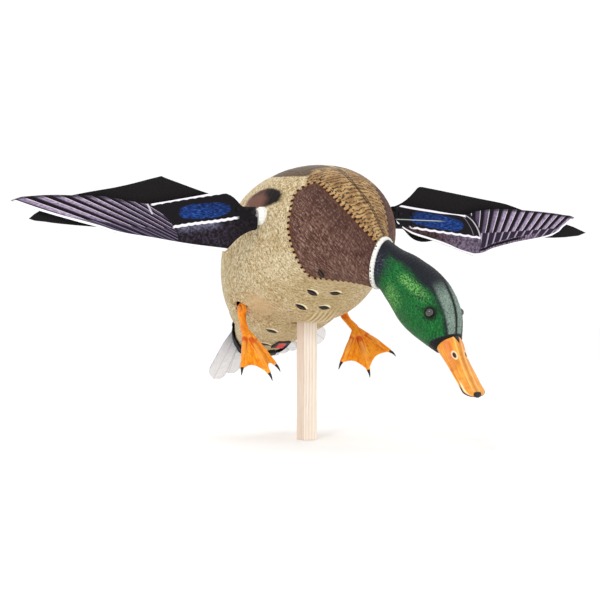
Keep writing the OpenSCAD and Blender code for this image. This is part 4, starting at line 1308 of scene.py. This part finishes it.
def shape_bill(ob, samples):
    """Works the grooves, ridge and nostrils into the bill."""
    co, f = look_up(ob, samples)
    u, t = f["u"], f["top"]
    drop_t = 84 - 16 * np.clip((u - 2.4) / 1.6, 0, 1)
    push = -0.7 * np.exp(-(((t - drop_t) / 4.5) ** 2)) * np.clip(u - 0.8, 0, 1)
    push += 0.5 * np.exp(-(((t - drop_t - 13) / 8) ** 2)) * np.clip(u - 0.8, 0, 1)
    push += 0.7 * np.exp(-((t / 14) ** 2)) * np.clip((3.2 - u) / 2, 0, 1)
    push -= 0.45 * np.exp(-(((t - 34) / 12) ** 2)) * np.clip((3.4 - u) / 2, 0, 1)
    d = nostril_field(co)
    push += -1.3 * np.exp(-((d / 2.6) ** 2)) + 0.5 * np.exp(-(((d - 4.2) / 1.0) ** 2))
    push_out(ob, co, push)


bill, bill_samples = shell("bill_skin", BILL, int(120 * detail), int(150 * detail), 0, 9, 0)
shape_bill(bill, bill_samples)
paint_form(bill, bill_samples, lambda co: {"nostril": nostril_field(co)})
finish_with(bill, bill_horn(), "head", ["bill"])

tip = np.array(BILL[-1], float)
ts, ws = np.linspace(0, 1, 24), np.linspace(-1, 1, 25)
grown = tip.copy()
grown[5:8] += 0.8
grown[5] *= 0.7
grid = []
for t in ts:
    a = math.radians(34 + 56 * t)
    row = grown.copy()
    ahead = axes(tip[None])[0][0]
    row[:3] += ahead * 9.8 * math.sin(a)
    k = max(math.cos(a), 0.03)
    row[5:8] *= k
    span = 24 + 66 * t
    grid.append(sections(row[None], np.radians(90 + ws * span))[0])
nail = mesh_object("nail_tip", np.array(grid).reshape(-1, 3), grid_faces(24, 25, closed=False))
thicken(nail, 0.0012)
outward(nail)
horn = plastic("black_horn", (14, 11, 10), (52, 42, 38), 0.28, 0.8, 0.08)
horn.slot = "claw_black"
finish_with(nail, horn, "head", ["bill_nail"])

neck_row = np.array(BODY[-1], float)
neck_ahead, neck_side, neck_up = [a[0] for a in axes(neck_row[None])]
seg = 220
# Radius and height of the ring's section
profile = [
    (28.5, 0.1), (30.4, 0.1), (31.3, 0.6), (31.6, 1.8), (31.4, 3.2), (30.7, 4.3), (29.6, 5.0), (28.5, 5.0),
]
a = np.arange(seg) / seg * 2 * math.pi
prof = spline(profile, np.linspace(0, len(profile) - 1, 29))
spokes = np.cos(a)[:, None] * neck_side + np.sin(a)[:, None] * neck_up
grid = []
for r, h in prof:
    wave = 0.35 * np.abs(np.sin(a * 22)) * (r > 30) + 0.12 * np.sin(a * 67)
    ruffle = 0.5 * np.abs(np.sin(a * 22 + 0.4))[:, None] * (h > 4)
    grid.append((NECK - [0, BACK, 0]) + neck_ahead * (h + ruffle) + (r + wave)[:, None] * spokes)
grid = np.array(grid)
faces = grid_faces(len(grid), seg)
faces += last_to_first(len(grid), seg)
ring = mesh_object("ring_skin", grid.reshape(-1, 3), faces)
outward(ring)
attribute(ring, "run", np.tile(a * 31, len(grid)))
attribute(ring, "up", np.repeat(prof[:, 1], seg))
finish_with(ring, ring_plumage(), "head", ["neck_ring"])

# ---- feet

SKIN = web_skin()
TOES_OF = {
    "left": np.array([[46, 4, 98], [71, -22, 88], [106, -16, 112]], float),
    "right": np.array([[49, 4, 97], [70, -22, 87], [104, -16, 94]], float),
}
ANKLE = np.array([80.0, 28, 140])
for side, word in ((-1, "right"), (1, "left")):
    flip = np.array([side, 1, 1])
    TOES = TOES_OF[word]
    parts = []
    leg = [(73, 50, 168), (74.3, 48.5, 158), (76.5, 41, 150), (79.5, 30, 141.5), (80.5, 23, 134)]
    parts.append(tube("leg", np.array(leg) * flip, [5.4, 5.3, 4.5, 5.2, 3.4], 20))
    lines = []
    for toe in TOES:
        v = toe - ANKLE
        path = [ANKLE + v * f + np.array([0, -1.0, 1.6]) * math.sin(f * math.pi)
            for f in (-0.04, 0.2, 0.4, 0.6, 0.8, 1.0)]
        lines.append(spline(path, np.linspace(0, 5, 60)))
        parts.append(tube("toe", np.array(path) * flip, [4.4, 3.7, 2.9, 3.2, 2.5, 2.7], 16))
    for k in (0, 1):
        grid = []
        for r in np.linspace(0.02, 1, 34):
            row = []
            for w in np.linspace(0, 1, 25):
                reach = r * (1 - 0.13 * math.sin(math.pi * w) ** 0.8)
                a, b = [
                    np.array([np.interp(reach * 59, np.arange(60), line[:, c]) for c in range(3)])
                    for line in lines[k : k + 2]
                ]
                sag = np.array([0, 1.6, 0]) * math.sin(math.pi * w) * r
                folds = np.array([0, 0.5, 0]) * math.sin(w * 9 * math.pi) * r * 0.5
                row.append(a * (1 - w) + b * w + sag + folds)
            grid.append(row)
        grid = np.array(grid) * flip
        grid[..., 1] -= BACK
        web = mesh_object("web", grid.reshape(-1, 3), grid_faces(34, 25, closed=False))
        thicken(web, 0.0024)
        outward(web)
        parts.append(web)
    foot = join(word + "_foot_skin", parts)
    mod = foot.modifiers.new("blend", "REMESH")
    mod.mode, mod.voxel_size, mod.use_smooth_shade = "VOXEL", 0.00085, True
    mod = foot.modifiers.new("ease", "SMOOTH")
    mod.factor, mod.iterations = 0.5, 3
    bake_modifiers(foot)
    co = coords(foot) * flip + [0, BACK, 0]
    d, run = np.full(len(co), 99.0), np.zeros(len(co))
    for line in lines:
        for i, q in enumerate(line):
            e = np.linalg.norm(co - q, axis=1)
            run = np.where(e < d, i / 59.0, run)
            d = np.minimum(d, e)
    off = co - ANKLE
    reach = np.linalg.norm(off, axis=1)
    angle = np.arctan2(off[:, 0], -off[:, 2])
    web_part = np.clip((reach - 10) / 10, 0, 1) * (co[:, 2] < 136)
    attribute(foot, "tendon", np.exp(-(((d - 3.6) / 1.4) ** 2)) * web_part * np.clip(1.25 - run, 0, 1))
    attribute(foot, "along", reach)
    attribute(foot, "round", angle * 42)
    shade = np.clip((co[:, 2] - 149) / 9, 0, 1) * np.clip((76 - co[:, 0]) / 4, 0, 1) * 0.9
    shade = np.maximum(shade, 0.55 * np.exp(-((reach / 9) ** 2)) * (co[:, 0] > 80))
    attribute(foot, "shade", shade)
    finish_with(foot, SKIN, word + "_foot")
    hip = np.array([(x, 50, 166) for x in (70.1, 71, 73, 75, 75.9)])
    disc = tube(word + "_hip_disc", hip * flip, [7.2, 8.8, 9.0, 8.8, 7.2], 40)
    for key in ("tendon", "along", "round", "shade"):
        attribute(disc, key, np.full(len(disc.data.vertices), 0.3 if key == "shade" else 0.0))
    finish_with(disc, SKIN, word + "_foot")
    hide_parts(word + "_foot")
    nails = []
    for toe in TOES:
        v = (toe - ANKLE) / np.linalg.norm(toe - ANKLE)
        base = toe + v * 0.6
        path = [base, base + v * 3.4 + [0, 0.2, 0.3], base + v * 6.8 + [0, 0.4, -0.3],
            base + v * 10 + [0, 1.2, -1.6]]
        nails.append(tube("claw", np.array(path) * flip, [2.0, 1.6, 1.05, 0.3], 14))
    claws = join(word + "_claw_set", nails)
    finish_with(claws, horn, word + "_foot", [word + "_claws"])

# ---- finishes of the CAD parts that show as they are

dark_plastic = plastic("dark_plastic", (12, 12, 13), (30, 30, 33), 0.5)
grey_plastic = plastic("grey_plastic", (96, 98, 102), (128, 130, 134))
white_plastic = plastic("white_plastic", (224, 222, 214), (246, 245, 240), 0.4)
rubber = plastic("rubber", (22, 22, 22), (44, 43, 42), 0.7, 0.9, 0.15)
red_plastic = plastic("red_plastic", (176, 24, 22), (216, 52, 44), 0.35, 0.7, 0.05)
lead = plastic("lead_cover", (150, 18, 16), (190, 34, 28), 0.5, 0.9, 0.08)
steel = metal("steel", (150, 152, 156), (206, 208, 212), 0.3, 0)
tin = metal("tin", (168, 170, 172), (214, 214, 214), 0.38, 2)
blackened = metal("blackened_steel", (24, 23, 24), (52, 50, 52), 0.42, 1)
pin_paint = plastic("pin_paint", (206, 110, 28), (232, 140, 46), 0.45, 0.9, 0.06)
brass = metal("brass", (176, 136, 62), (222, 186, 104), 0.3, 0)
eye = Mat("eye_glass", Specular_IOR_Level=0.7, Coat_Weight=0.8, Coat_Roughness=0.03)
eye.done(eye.two(eye.noise(0.5, 3), 0.35, 0.65, (6, 5, 5), (30, 18, 12)), 0.08)
winding = Mat("copper_windings", Metallic=0.9)
wx, _, _ = winding.split(winding.place())
turns = winding.sin(wx * 7.0 + winding.noise(0.3) * 4.0)
winding.done(winding.two(turns, -0.5, 0.7, (96, 48, 20), (196, 116, 62)), 0.35, turns, 0.25)
wrap = Mat("battery_wrap", Coat_Weight=0.25, Coat_Roughness=0.2)
wx, _, _ = wrap.split(wrap.place())
crinkle = wrap.noise(0.12, 4, 0.6)
wc = wrap.two(crinkle, 0.35, 0.65, (18, 34, 88), (34, 60, 130))
wc = wrap.mix(wrap.near(wrap.size(wx), 36.0, 2.2, 1.8), wc, rgb(206, 206, 204))
wrap.done(wc, wrap.step(crinkle, 0.2, 0.8) * 0.2 + 0.3, crinkle, 0.3)
strap = Mat("strap_webbing", Specular_IOR_Level=0.2)
wx, wy, wz = strap.split(strap.place())
weave = strap.sin((wx + wy + wz) * 4.2) * strap.sin((wx - wy - wz) * 4.2)
strap.done(strap.two(weave, -0.4, 0.5, (14, 14, 16), (52, 52, 56)), 0.85, weave, 0.3)
board = Mat("board_green", Coat_Weight=0.3, Coat_Roughness=0.2)
tracks = board.cells(0.22, board.scaled(board.place(), 1.0, 1.0, 0.4), "Distance", "DISTANCE_TO_EDGE")
bc = board.two(tracks, 0.10, 0.06, (14, 70, 38), (44, 118, 66))
bc = board.mix(board.step(board.cells(0.25), 0.16, 0.12), bc, rgb(206, 196, 150))
board.done(bc, board.step(tracks, 0.0, 0.3) * 0.2 + 0.3, tracks, 0.1)

coat(["stake_section"], wood())
coat(["stake_ferrule", "motor_can", "receiver_can"], tin)
coat(["neck_socket", "stake_socket", "motor_cradle", "neck_spigot", "charge_jack", "switch_bezel",
    "right_wing_hub", "left_wing_hub"], dark_plastic)
coat(["chassis_plate"], grey_plastic)
coat(["chassis_screws", "wing_shaft", "motor_end_bells", "right_wing_magnet",
      "left_wing_magnet"], steel)
coat(["right_wing_screws", "left_wing_screws"], blackened)
coat(["hip_pin_right", "hip_pin_left"], pin_paint)
coat(["drive_collars"], brass)
coat(["motor_armature"], winding)
coat(["wing_bush_right", "wing_bush_left"], white_plastic)
coat(["battery_pack"], wrap)
coat(["battery_strap"], strap)
coat(["control_board"], board)
coat(["power_leads"], lead)
coat(["cover_bumpers", "charge_plug"], rubber)
coat(["power_rocker"], red_plastic)
coat(["eye_right", "eye_left"], eye)
coat(["right_wing_front_leaf"], leaf_print("print_right_front", "A", -1, 1, 1))
coat(["right_wing_rear_leaf"], leaf_print("print_right_rear", "B", -1, -1, -1))
coat(["left_wing_front_leaf"], leaf_print("print_left_front", "B", 1, 1, 1))
coat(["left_wing_rear_leaf"], leaf_print("print_left_rear", "A", 1, -1, -1))

# ---- floor, light and camera

floor_seg = 96
turn = [2 * math.pi * k / floor_seg for k in range(floor_seg)]
ring_pts = [(FLOOR_R * math.cos(a), FLOOR_R * math.sin(a), FLOOR_Z) for a in turn]
floor = mesh_object("floor", ring_pts, [tuple(range(floor_seg))], smooth=False)
ground = Mat("pale_floor", Specular_IOR_Level=0.1)
ground.done(ground.mix(ground.noise(0.002, 2), rgb(251, 251, 251), rgb(253, 253, 253)), 0.9)
floor.data.materials.append(ground.m)

bpy.context.scene.view_settings.view_transform = "Standard"
world = bpy.data.worlds.new("studio")
bpy.context.scene.world = world
world.use_nodes = True
world.node_tree.nodes["Background"].inputs["Color"].default_value = (1.0, 1.0, 1.0, 1)
world.node_tree.nodes["Background"].inputs["Strength"].default_value = 1.04


def lamp(name, place, size, watts, aim=(0, -0.05, 0.25)):
    """A round soft lamp that faces aim, in metres."""
    data = bpy.data.lights.new(name, "AREA")
    data.shape, data.size, data.energy = "DISK", size, watts
    ob = bpy.data.objects.new(name, data)
    ob.location = place
    ob.rotation_mode = "QUATERNION"
    ob.rotation_quaternion = (Vector(aim) - Vector(place)).to_track_quat("-Z", "Y")
    bpy.context.collection.objects.link(ob)


lamp("key", (-1.3, -1.5, 1.5), 0.6, 13)
lamp("fill", (0.9, -2.0, 0.4), 1.2, 2)
lamp("back", (0.6, 1.4, 1.3), 0.9, 5)

target = Vector((0, AXIS_Y, AXIS_Z)) * MM
away = Vector((-0.4688, -0.8817, -0.0523)).normalized()
right = Vector((0.88295, -0.46947, 0))
over = away.cross(right)
look = (-away - 0.0157 * right - 0.0515 * over).normalized()
data = bpy.data.cameras.new("camera")
data.lens, data.sensor_width = 95.52, 36.0
data.clip_start, data.clip_end = 0.05, 60.0
camera = bpy.data.objects.new("camera", data)
camera.location = target + away * 1.990
zc = -look
xc = over.cross(zc).normalized()
yc = zc.cross(xc)
camera.rotation_mode = "QUATERNION"
camera.rotation_quaternion = Matrix((xc, yc, zc)).transposed().to_quaternion()
bpy.context.collection.objects.link(camera)
bpy.context.scene.camera = camera
